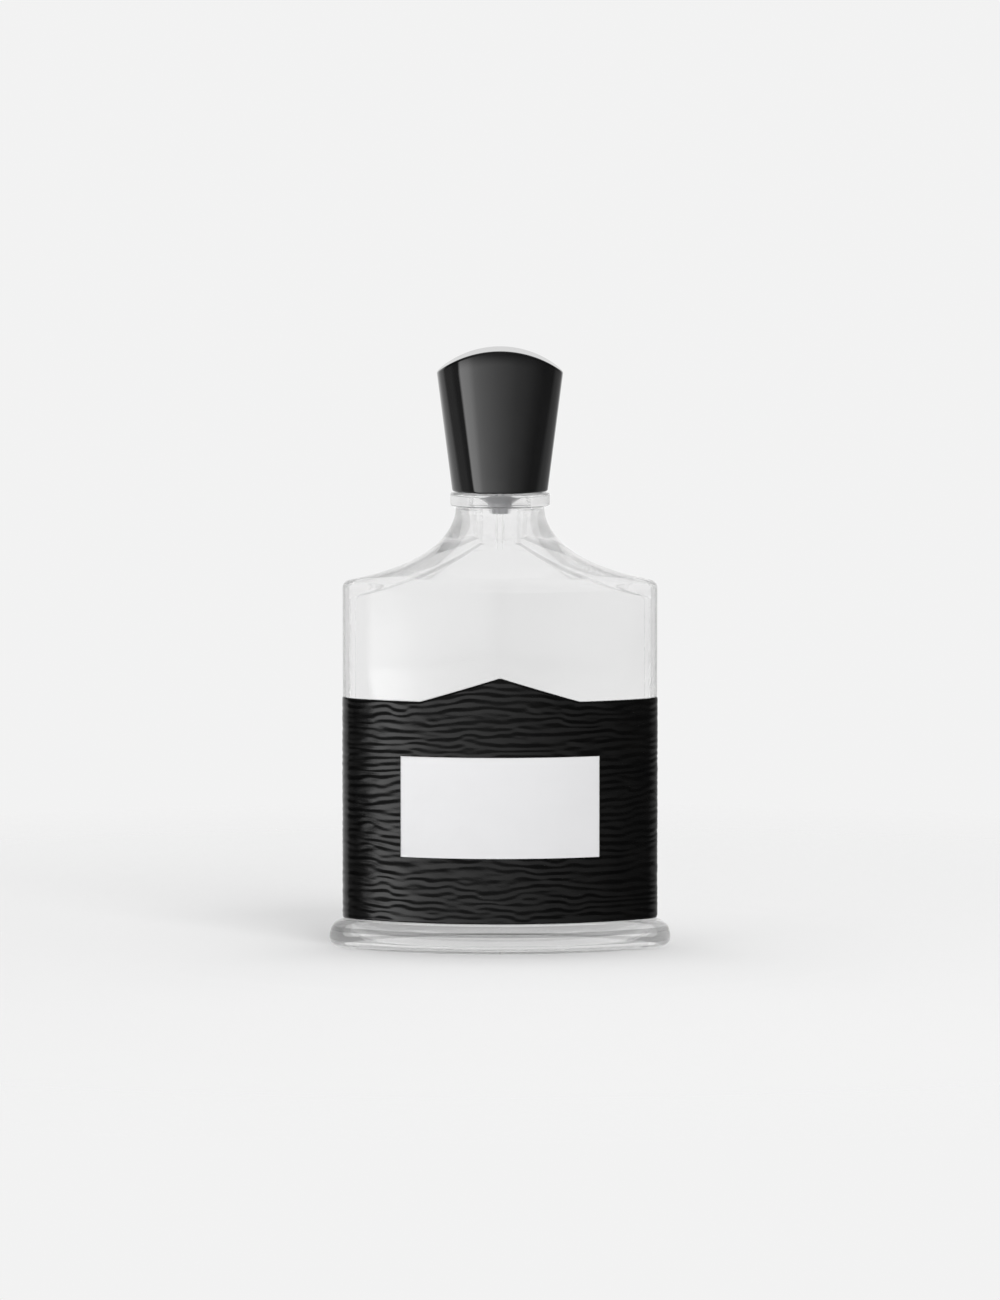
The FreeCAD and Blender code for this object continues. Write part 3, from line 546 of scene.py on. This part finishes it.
def glass_bottle():
    """One closed surface: underside, foot, body with the wrap's recess, shoulder, neck, bore and cavity."""
    clear, wall, edge, ring, bore, roof, wet, shade = range(8)
    rings, bands = [], []

    def add(points, z, band=edge):
        rings.append(at(points, z))
        bands.append(band)

    push_up = FOOT_OVERHANG - PUSH_UP_INSET
    flat = np.array(body(push_up - PUSH_UP_ROUND))
    for share in (0.3, 0.6, 0.85):
        add(flat * share, PUSH_UP_DEPTH)
    for turn in np.linspace(0, math.pi / 2, 5):
        inset, fall = PUSH_UP_ROUND * (1 - math.sin(turn)), PUSH_UP_ROUND * (1 - math.cos(turn))
        add(body(push_up - inset), PUSH_UP_DEPTH - fall)
    add(body(push_up), 0.0)
    for turn in np.linspace(0, math.pi / 2, 11):
        out = FOOT_OVERHANG - FOOT_LOWER_ROUND * (1 - math.sin(turn))
        add(body(out), FOOT_LOWER_ROUND * (1 - math.cos(turn)))
    meets = math.acos(1 - FOOT_OVERHANG / FOOT_UPPER_ROUND)
    for turn in np.linspace(0, meets, 15):
        out = FOOT_OVERHANG - FOOT_UPPER_ROUND * (1 - math.cos(turn))
        share = turn / meets
        # Painted reflection: a band of darker glass stands for the dark wrap, mirrored in the foot
        band = edge if share <= FOOT_PAINTED_REFLECTION[0] else shade if share < FOOT_PAINTED_REFLECTION[1] else clear
        add(body(out), FOOT_HEIGHT - FOOT_UPPER_ROUND * (1 - math.sin(turn)), band)
    recess, side = body(-WRAP_RECESS), body(0.0)
    add(side, WRAP_BOTTOM - 0.1)
    add(body(-0.1), WRAP_BOTTOM)
    add(recess, WRAP_BOTTOM)
    upper = wrap_top(recess)
    for share in (0.25, 0.5, 0.75, 1.0):
        add(recess, WRAP_BOTTOM + (upper - WRAP_BOTTOM) * share)
    lip = wrap_top(side)
    for out, rise in ((-0.3, 0.0), (-0.15, 0.05), (-0.05, 0.15), (0.0, 0.3)):
        add(body(out), lip + rise, wall)
    add(side, (lip + WALL_TOP) / 2, wall)
    add(side, WALL_TOP, wall)
    upwards = shoulder(
        BODY, NECK_RADIUS, SHOULDER_REACH, SHOULDER_DROP, SHOULDER_TOP, SHOULDER_ROUND,
        0.0, SHOULDER_NECK_CORNER,
    )
    rings.extend(upwards)
    bands.extend([clear] * len(upwards))
    neck = rounded([
        (NECK_RADIUS, SHOULDER_TOP),
        (NECK_RADIUS, RING_BOTTOM),
        (RING_RADIUS, RING_BOTTOM),
        (RING_RADIUS, RING_TOP),
        (FINISH_RADIUS, RING_TOP),
        (FINISH_RADIUS, BEAD_BOTTOM),
        (BEAD_RADIUS, BEAD_BOTTOM + BEAD_CHAMFER),
        (BEAD_RADIUS, GLASS_TOP - BEAD_CHAMFER),
        (BEAD_RADIUS - BEAD_CHAMFER, GLASS_TOP),
        (BORE_RADIUS, GLASS_TOP),
        (BORE_RADIUS, ROOF_TOP + 0.5),
    ], RING_ROUND)
    rings.extend(turned(neck[1:]))
    bands.extend([ring if r > FINISH_RADIUS else bore for r, z in neck[1:]])
    inside = cavity(0.0, LIQUID_LEVEL)[::-1]
    rings.extend(inside)
    for level in inside:
        height = level[0, 2]
        bands.append(bore if height > ROOF_CROWN else roof if height > ROOF_EAVES else wet)
    floor = np.array(inside[-1][:, :2])
    for share in (0.7, 0.35):
        add(floor * share, CAVITY_FLOOR, wet)
    glasses = [GLASS, GLASS_WALL, GLASS_EDGE, GLASS_RING, GLASS_BORE, GLASS_ROOF, GLASS_WET, GLASS_PAINTED_REFLECTION]
    obj = stack("bottle_glass", rings, glasses, bands, PUSH_UP_DEPTH, CAVITY_FLOOR, sharp=35.0)
    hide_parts("glass_bottle")
    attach(obj, "bottle")


def aftershave_liquid():
    """The fill with its level surface, around the dip tube."""
    hole = TUBE_RADIUS + LIQUID_GAP
    inside = [r for r in cavity(LIQUID_GAP, LIQUID_LEVEL) if r[0, 2] < LIQUID_LEVEL + 1e-6]
    floor = np.array(inside[0][:, :2])
    rings = [at(floor * share, CAVITY_FLOOR + LIQUID_GAP) for share in (0.35, 0.7)] + inside
    surface = len(rings) - 1
    rings += turned([(hole, LIQUID_LEVEL), (hole, TUBE_BOTTOM - LIQUID_GAP)])
    bands = [1 if i == surface else 0 for i in range(len(rings))]
    obj = stack(
        "aftershave_fill", rings, [LIQUID_WALL, LIQUID_SURFACE], bands,
        CAVITY_FLOOR + LIQUID_GAP, TUBE_BOTTOM - LIQUID_GAP,
    )
    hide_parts("aftershave_liquid")
    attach(obj, "bottle")


def dip_tube():
    """Clear tube, cut slanting at its foot, hardly to be seen in the liquid."""
    def slanted(radius):
        points = circle(radius)
        lift = TUBE_BOTTOM + (TUBE_RADIUS - points[:, 0]) * math.tan(math.radians(TUBE_NOTCH_ANGLE))
        return at(points, lift)

    rings = [slanted(TUBE_RADIUS)]
    rings += turned([(TUBE_RADIUS, z) for z in (TUBE_NOTCH_TOP, LIQUID_LEVEL, TUBE_TOP)])
    rings += turned([(TUBE_BORE, z) for z in (TUBE_TOP, LIQUID_LEVEL, TUBE_NOTCH_TOP)])
    rings.append(slanted(TUBE_BORE))
    obj = loop("dip_tube_clear", rings, [TUBE_WET, TUBE_DRY], [0, 0, 1, 1, 1, 0, 0, 0])
    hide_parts("dip_tube")
    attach(obj, "bottle")


# Wrap and plate

def leather_wrap():
    """Leather with raised wavy ridges along it, rolled edges and a butt seam at the back."""
    columns, rows = LEATHER_COLUMNS, LEATHER_ROWS
    outline = body(WRAP_PROUD)
    outline = np.concatenate([outline, outline[:1]])
    lengths = np.concatenate([[0], np.cumsum(np.linalg.norm(np.diff(outline, axis=0), axis=1))])
    along = np.linspace(WRAP_SEAM / 2, lengths[-1] - WRAP_SEAM / 2, columns)
    outer = np.column_stack([np.interp(along, lengths, outline[:, k]) for k in (0, 1)])
    tangent = np.gradient(outer, along, axis=0)
    normal = np.column_stack([-tangent[:, 1], tangent[:, 0]])
    normal /= np.linalg.norm(normal, axis=1)[:, None]
    bottom = WRAP_BOTTOM + WRAP_EDGE_GAP
    top = wrap_top(outer) - WRAP_EDGE_GAP
    share = np.linspace(0, 1, rows)
    s = np.broadcast_to(along[:, None], (columns, rows))
    z = bottom + (top - bottom)[:, None] * share[None, :]

    # Ridges: short wavy strips along the wrap that run into each other. The noises are sized in millimetres
    # along the wrap and up it, and numbered.
    bent = z + 0.3 * smooth_noise(s / 6, z / 5, 3)
    loose = smooth_noise(s / 3.4, bent / 0.9, 7) + smooth_noise(s / 3.4 + 0.5, bent / 0.9 + 0.5, 8)
    drift = 0.6 * smooth_noise(s / 15 + 3, z / 7, 5) + 0.4 * smooth_noise(s / 4, z / 2.6, 6)
    strength = 1 + 0.8 * smooth_noise(s / 4, z / 1.7, 9)
    wave = strength * np.cos(2 * math.pi * (z / RIDGE_PITCH + drift))
    edge = np.minimum(np.minimum(z - bottom, top[:, None] - z), np.minimum(s, lengths[-1] - s))
    sunk = RIDGE_CLEAR + RIDGE_DEPTH * (RIDGE_MEAN + RIDGE_REGULAR * wave + RIDGE_LOOSE * loose)
    sunk += WRAP_ROLL_DEPTH * np.clip(1 - edge / WRAP_ROLL_WIDTH, 0, 1) ** 2

    points = [np.column_stack([outer[i] - normal[i] * d for d in sunk[i]]).T for i in range(columns)]
    front = np.concatenate([np.column_stack([p, z[i]]) for i, p in enumerate(points)])
    inner = outer - normal * (WRAP_PROUD - WRAP_INNER)
    back_low = np.column_stack([inner, np.full(columns, bottom)])
    back_high = np.column_stack([inner, top])
    vertices = np.concatenate([front, back_low, back_high])

    def f(i, j):
        return i * rows + j

    low, high = columns * rows, columns * rows + columns
    faces = []
    for i in range(columns - 1):
        faces += [(f(i, j), f(i, j + 1), f(i + 1, j + 1), f(i + 1, j)) for j in range(rows - 1)]
        faces.append((f(i, rows - 1), high + i, high + i + 1, f(i + 1, rows - 1)))
        faces.append((f(i, 0), f(i + 1, 0), low + i + 1, low + i))
        faces.append((low + i, low + i + 1, high + i + 1, high + i))
    for i, flip in ((0, False), (columns - 1, True)):
        end = [low + i] + [high + i] + [f(i, j) for j in range(rows - 1, -1, -1)]
        faces.append(tuple(end[::-1] if flip else end))
    obj = piece("leather_cover", vertices, faces, [LEATHER], sharp=50.0)
    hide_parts("leather_wrap")
    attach(obj, "bottle")


def front_plate():
    """Bare satin plate that follows the front, with a fine eased edge."""
    radius = BODY[2]
    centre_y = radius - BODY[1]

    def spread(low, high, steps):
        near = np.array((0.0, 0.3 * PLATE_ROUND, PLATE_ROUND))
        middle = np.linspace(low + PLATE_MARGIN, high - PLATE_MARGIN, steps)
        return np.concatenate([low + near, middle, high - near[::-1]])

    xs = spread(-PLATE_HALF_WIDTH, PLATE_HALF_WIDTH, PLATE_COLUMNS)
    zs = spread(PLATE_BOTTOM, PLATE_TOP, PLATE_ROWS)
    nx, nz = len(xs), len(zs)

    def on(x, z, out):
        return (x, centre_y - math.sqrt((radius + out) ** 2 - x * x), z)

    vertices = []
    for x in xs:
        for z in zs:
            edge = min(PLATE_HALF_WIDTH - abs(x), z - PLATE_BOTTOM, PLATE_TOP - z)
            drop = PLATE_ROUND - math.sqrt(max(PLATE_ROUND ** 2 - max(PLATE_ROUND - edge, 0) ** 2, 0))
            vertices.append(on(x, z, PLATE_OUTER - drop))
    base = len(vertices)
    vertices += [on(x, z, PLATE_INNER) for x in xs for z in (PLATE_BOTTOM, PLATE_TOP)]

    def f(i, j):
        return i * nz + j

    faces = []
    for i in range(nx - 1):
        faces += [(f(i, j), f(i + 1, j), f(i + 1, j + 1), f(i, j + 1)) for j in range(nz - 1)]
        low, after = base + 2 * i, base + 2 * i + 2
        faces.append((low, low + 1, after + 1, after))
        faces.append((low, after, f(i + 1, 0), f(i, 0)))
        faces.append((f(i, nz - 1), f(i + 1, nz - 1), after + 1, low + 1))
    faces.append(tuple([base] + [f(0, j) for j in range(nz)] + [base + 1]))
    last = base + 2 * (nx - 1)
    faces.append(tuple([last + 1] + [f(nx - 1, j) for j in range(nz - 1, -1, -1)] + [last]))
    obj = piece("plate_blank", vertices, faces, [PLATE], sharp=40.0)
    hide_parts("front_plate")
    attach(obj, "bottle")


# Cap

def cap_shell():
    """Polished cap: flared from a round mouth, bored inside, under an arched crown with a fine round edge."""
    rise = CAP_CROWN - CAP_CORNER_HEIGHT
    radius = (CAP_CORNER_HALF_WIDTH ** 2 + rise ** 2) / (2 * rise)

    def arch(x):
        return CAP_CROWN - radius + np.sqrt(radius ** 2 - x ** 2)

    top = CAP_CROWN + 1
    flare = (CAP_CORNER_HALF_WIDTH - CAP_MOUTH_RADIUS) / (CAP_CORNER_HEIGHT - CAP_BOTTOM)
    widest = (CAP_MOUTH_RADIUS + flare * (top - CAP_BOTTOM), *CAP_TOP)
    turns = corner_of(*widest)[2:]
    mouth = at(circle(CAP_MOUTH_RADIUS, *turns), CAP_BOTTOM)
    span = at(cushion(*widest), top) - mouth
    low, high = np.zeros(len(mouth)), np.ones(len(mouth))
    for _ in range(50):
        reach = (low + high) / 2
        p = mouth + span * reach[:, None]
        above = p[:, 2] > arch(p[:, 0])
        high, low = np.where(above, reach, high), np.where(above, low, reach)
    edge = mouth + span * reach[:, None]

    rings = turned([
        (WEIGHT_POCKET_RADIUS * 0.5, WEIGHT_POCKET_TOP),
        (WEIGHT_POCKET_RADIUS, WEIGHT_POCKET_TOP),
        (WEIGHT_POCKET_RADIUS, CAP_BORE_TOP),
        (CAP_BORE, CAP_BORE_TOP),
        (CAP_BORE, CAP_BOTTOM + CAP_BORE_BEVEL[1]),
        (CAP_BORE + CAP_BORE_BEVEL[0], CAP_BOTTOM),
        (CAP_MOUTH_RADIUS - CAP_EDGE_ROUND, CAP_BOTTOM),
    ])
    along = span / np.linalg.norm(span, axis=1)[:, None]
    inward = at(circle(CAP_MOUTH_RADIUS - CAP_EDGE_ROUND, *turns), CAP_BOTTOM)
    first = mouth + along * CAP_EDGE_ROUND
    for t in np.linspace(0, 1, 6)[1:]:
        rings.append(inward * (1 - t) ** 2 + mouth * 2 * t * (1 - t) + first * t ** 2)
    last = edge - along * CAP_EDGE_ROUND
    for t in np.linspace(0, 1, 13)[1:]:
        rings.append(first + (last - first) * t)
    plan = np.linalg.norm(edge[:, :2], axis=1)[:, None]
    shrunk = edge[:, :2] * (1 - CAP_EDGE_ROUND / plan)
    onto = np.column_stack([shrunk, arch(shrunk[:, 0])])
    for t in np.linspace(0, 1, 7)[1:]:
        rings.append(last * (1 - t) ** 2 + edge * 2 * t * (1 - t) + onto * t ** 2)
    for share in np.linspace(1, 0, 15)[1:-1]:
        flat = shrunk * share
        rings.append(np.column_stack([flat, arch(flat[:, 0])]))
    obj = stack("cap_black_shell", rings, [CAP], None, WEIGHT_POCKET_TOP, CAP_CROWN, sharp=40.0)
    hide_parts("cap_shell")
    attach(obj, "cap")


# Collar and spring

def collar():
    """Drawn aluminium sleeve with rounded edges."""
    flange = COLLAR_TOP - COLLAR_SHEET
    profile = rounded([
        (COLLAR_INNER, COLLAR_JOIN),
        (COLLAR_INNER, COLLAR_BOTTOM),
        (COLLAR_OUTER, COLLAR_BOTTOM),
        (COLLAR_OUTER, COLLAR_TOP),
        (COLLAR_MOUTH, COLLAR_TOP),
        (COLLAR_MOUTH, flange),
        (COLLAR_INNER, flange),
        (COLLAR_INNER, COLLAR_JOIN + 0.01),
    ], COLLAR_ROUND)
    obj = loop("collar_sleeve", turned(profile), [ALUMINIUM], sharp=50.0)
    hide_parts("collar")
    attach(obj, "bottle")


def return_spring():
    """Coil spring of round wire, drawn at full length on a mesh of its own."""
    around, per_turn = WIRE_STEPS, COIL_STEPS
    wire = SPRING_WIRE / 2
    low, high = SPRING_BOTTOM + wire, SPRING_TOP - wire
    climb = (high - low) / SPRING_TURNS / (2 * math.pi)
    rings = []
    for angle in np.linspace(0, 2 * math.pi * SPRING_TURNS, SPRING_TURNS * per_turn + 1):
        out = np.array((math.cos(angle), math.sin(angle), 0.0))
        tangent = np.array((-SPRING_RADIUS * math.sin(angle), SPRING_RADIUS * math.cos(angle), climb))
        tangent /= np.linalg.norm(tangent)
        side = np.cross(tangent, out)
        centre = out * SPRING_RADIUS + (0, 0, low + climb * angle)
        turns = np.linspace(0, 2 * math.pi, around, endpoint=False)
        rings.append(np.array([centre + wire * (math.cos(t) * out + math.sin(t) * side) for t in turns]))
    points = [p for r in rings for p in r]
    faces = []
    for i in range(len(rings) - 1):
        for j in range(around):
            k = (j + 1) % around
            faces.append((i * around + j, i * around + k, (i + 1) * around + k, (i + 1) * around + j))
    faces.append(tuple(range(around))[::-1])
    faces.append(tuple(range((len(rings) - 1) * around, len(rings) * around)))
    obj = piece("spring_coil", points, faces, [STEEL], sharp=50.0)
    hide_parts("return_spring")
    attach(obj, "bottle")
    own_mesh(obj)


def carried_over():
    """Gives the solids that are shown as they are their materials."""
    finishes = {
        FILM: ("wrap_backing",),
        RUBBER: ("neck_gasket", "stem_seal"),
        PUMP: ("pump_housing", "piston", "stem"),
        STEEL: ("inlet_ball", "cap_weight"),
        ALUMINIUM: ("ferrule", "actuator_shell"),
        BUTTON: ("actuator_core", "nozzle_insert"),
        LINER: ("cap_liner",),
    }
    for material, nodes in finishes.items():
        for node in nodes:
            obj = frame["nodes"][node]
            if not obj.material_slots:
                obj.data.materials.append(material)
            for slot in obj.material_slots:
                slot.material = material


# Studio

BACKGROUND = 0.89
FLOOR_RINGS = (0.15, 0.4, 0.8, 1.4, 2.2)
FLOOR_FADE = (0.09, 0.32)
LAMP_AIM = (0, 0, 0.05)


def floor():
    """Pale floor that fades into the background."""
    mesh = bpy.data.meshes.new("floor")
    count = FLOOR_STEPS
    points = [(0.0, 0.0, 0.0)]
    for radius in FLOOR_RINGS:
        for i in range(count):
            angle = 2 * math.pi * i / count
            points.append((radius * math.cos(angle), radius * math.sin(angle), 0.0))
    faces = [(0, 1 + i, 1 + (i + 1) % count) for i in range(count)]
    for r in range(len(FLOOR_RINGS) - 1):
        a, b = 1 + r * count, 1 + (r + 1) * count
        faces += [(a + i, b + i, b + (i + 1) % count, a + (i + 1) % count) for i in range(count)]
    mesh.from_pydata(points, [], faces)
    obj = bpy.data.objects.new("floor", mesh)
    bpy.context.scene.collection.objects.link(obj)
    material, tree, shader = new_material(
        "floor_pale", Base_Color=(0.88, 0.88, 0.88, 1), Roughness=0.9, Specular_IOR_Level=0.0
    )
    place = tree.nodes.new("ShaderNodeTexCoord")
    far = tree.nodes.new("ShaderNodeVectorMath")
    far.operation = "LENGTH"
    tree.links.new(place.outputs["Object"], far.inputs[0])
    fade = ranged(tree, far.outputs["Value"], 1.0, 0.0, *FLOOR_FADE)
    tree.links.new(fade, shader.inputs["Alpha"])
    mesh.materials.append(material)
    obj.visible_glossy = False


def softbox(name, location, width, height, radiance):
    """Rectangular lamp aimed at the bottle, for matt surfaces: glossy and clear ones don't show it."""
    data = bpy.data.lights.new(name, "AREA")
    data.shape = "RECTANGLE"
    data.size, data.size_y = width, height
    data.energy = radiance * width * height * math.pi
    obj = bpy.data.objects.new(name, data)
    obj.location = location
    obj.rotation_euler = (Vector(LAMP_AIM) - Vector(location)).to_track_quat("-Z", "Y").to_euler()
    obj.visible_camera = False
    obj.visible_glossy = False
    obj.visible_transmission = False
    bpy.context.scene.collection.objects.link(obj)


# Brightness of the room by its bearing in degrees, for the screen and for the wall around it. Bearing 0 is on
# the camera's side and -90 to its left.
ROOM = (
    (-180, BACKGROUND, BACKGROUND), (-114, BACKGROUND, BACKGROUND), (-103, 0.34, 0.06), (-82, 0.4, 0.06),
    (-75, 0.2, 0.06), (-67.5, 0.2, 0.06), (-63.5, 4.2, 0.3), (-50, 3.7, 0.3), (-40, 2.4, 0.3),
    (-30, 2.0, 0.3), (0, 1.25, 0.3), (26, 0.68, 0.1), (60, 0.24, 0.05), (72, 0.14, 0.06), (94, 0.14, 0.06),
    (108, 0.36, 0.06), (152, 0.36, 0.3), (172, 0.6, BACKGROUND), (180, 0.68, BACKGROUND),
)
ROOM_PEAK = 4.2
ROOM_DARK = 0.06
ROOM_CEILING = 0.4

# Heights at which the room changes, as the upward part of a direction
SCREEN_MIDDLE = -0.36
SCREEN_FADE = (0.2, 0.37)
WALL_FADE = (0.2, 0.4)
CEILING_FADE = (0.42, 0.62)

PHOTO_SCALE = 4.434  # pixels per millimetre
PHOTO_HEIGHT = 1300  # pixels
CAMERA_DISTANCE = 2.0
CAMERA_ELEVATION = math.radians(4.8)
CAMERA_AIM = 0.06702
SENSOR = 36.0


def world():
    """Pale background for the camera and through glass, and otherwise a room with a screen on the left."""
    sky = bpy.data.worlds.new("studio")
    sky.use_nodes = True
    bpy.context.scene.world = sky
    tree = sky.node_tree
    nodes, links = tree.nodes, tree.links

    def math_node(operation, first, second=None):
        node = nodes.new("ShaderNodeMath")
        node.operation = operation
        for i, value in enumerate((first, second)):
            if value is None:
                continue
            if isinstance(value, (int, float)):
                node.inputs[i].default_value = value
            else:
                links.new(value, node.inputs[i])
        return node.outputs["Value"]

    place = nodes.new("ShaderNodeTexCoord")
    split = nodes.new("ShaderNodeSeparateXYZ")
    links.new(place.outputs["Generated"], split.inputs["Vector"])
    bearing = math_node("ARCTAN2", split.outputs["X"], math_node("MULTIPLY", split.outputs["Y"], -1.0))
    share = math_node("ADD", math_node("DIVIDE", bearing, 2 * math.pi), 0.5)
    room = nodes.new("ShaderNodeValToRGB")
    stops = room.color_ramp.elements
    while len(stops) < len(ROOM):
        stops.new(0.5)
    for stop, (degrees, screen, wall) in zip(stops, ROOM):
        stop.position = degrees / 360 + 0.5
        stop.color = (screen / ROOM_PEAK, wall / ROOM_PEAK, 0, 1)
    links.new(share, room.inputs["Fac"])
    parts = nodes.new("ShaderNodeSeparateColor")
    links.new(room.outputs["Color"], parts.inputs["Color"])

    def eased(source, start, end, before, after):
        node = nodes.new("ShaderNodeMapRange")
        node.interpolation_type = "SMOOTHSTEP"
        for key, value in (("From Min", start), ("From Max", end), ("To Min", before), ("To Max", after)):
            node.inputs[key].default_value = value
        links.new(source, node.inputs["Value"])
        return node.outputs["Result"]

    height = split.outputs["Z"]
    from_middle = math_node("ABSOLUTE", math_node("SUBTRACT", height, SCREEN_MIDDLE))
    screen = math_node("MULTIPLY", parts.outputs["Red"], eased(from_middle, *SCREEN_FADE, ROOM_PEAK, 0.0))
    wall = math_node("MULTIPLY", parts.outputs["Green"], eased(height, *WALL_FADE, ROOM_PEAK, 0.0))
    ceiling = eased(height, *CEILING_FADE, ROOM_DARK, ROOM_CEILING)
    lit = math_node("MAXIMUM", math_node("MAXIMUM", screen, wall), ceiling)
    path = nodes.new("ShaderNodeLightPath")
    seen = math_node("MAXIMUM", path.outputs["Is Camera Ray"], path.outputs["Is Transmission Ray"])
    others = math_node("MULTIPLY", lit, math_node("SUBTRACT", 1.0, seen))
    total = math_node("ADD", others, math_node("MULTIPLY", seen, BACKGROUND))
    shade = nodes["Background"]
    shade.inputs["Color"].default_value = (1, 1, 1, 1)
    links.new(total, shade.inputs["Strength"])


def camera():
    """Camera in front of the bottle, which looks slightly down on it."""
    data = bpy.data.cameras.new("camera")
    data.sensor_fit = "AUTO"
    data.sensor_width = SENSOR
    data.lens = PHOTO_SCALE / MM * CAMERA_DISTANCE / PHOTO_HEIGHT * SENSOR
    data.clip_start, data.clip_end = 0.01, 50.0
    back = CAMERA_DISTANCE * math.cos(CAMERA_ELEVATION)
    above = CAMERA_DISTANCE * math.sin(CAMERA_ELEVATION)
    obj = bpy.data.objects.new("camera", data)
    obj.location = (0.0, -back, CAMERA_AIM + above)
    obj.rotation_euler = (math.pi / 2 - CAMERA_ELEVATION, 0.0, 0.0)
    bpy.context.scene.collection.objects.link(obj)
    bpy.context.scene.camera = obj


glass_bottle()
aftershave_liquid()
dip_tube()
leather_wrap()
front_plate()
cap_shell()
collar()
return_spring()
carried_over()
floor()
world()
softbox("top", location=(0.0, 0.1, 1.3), width=1.4, height=1.2, radiance=1.95)
softbox("fill", location=(0.7, -1.5, 0.9), width=1.0, height=1.0, radiance=5.05)
camera()

bpy.context.scene.view_settings.view_transform = "Standard"
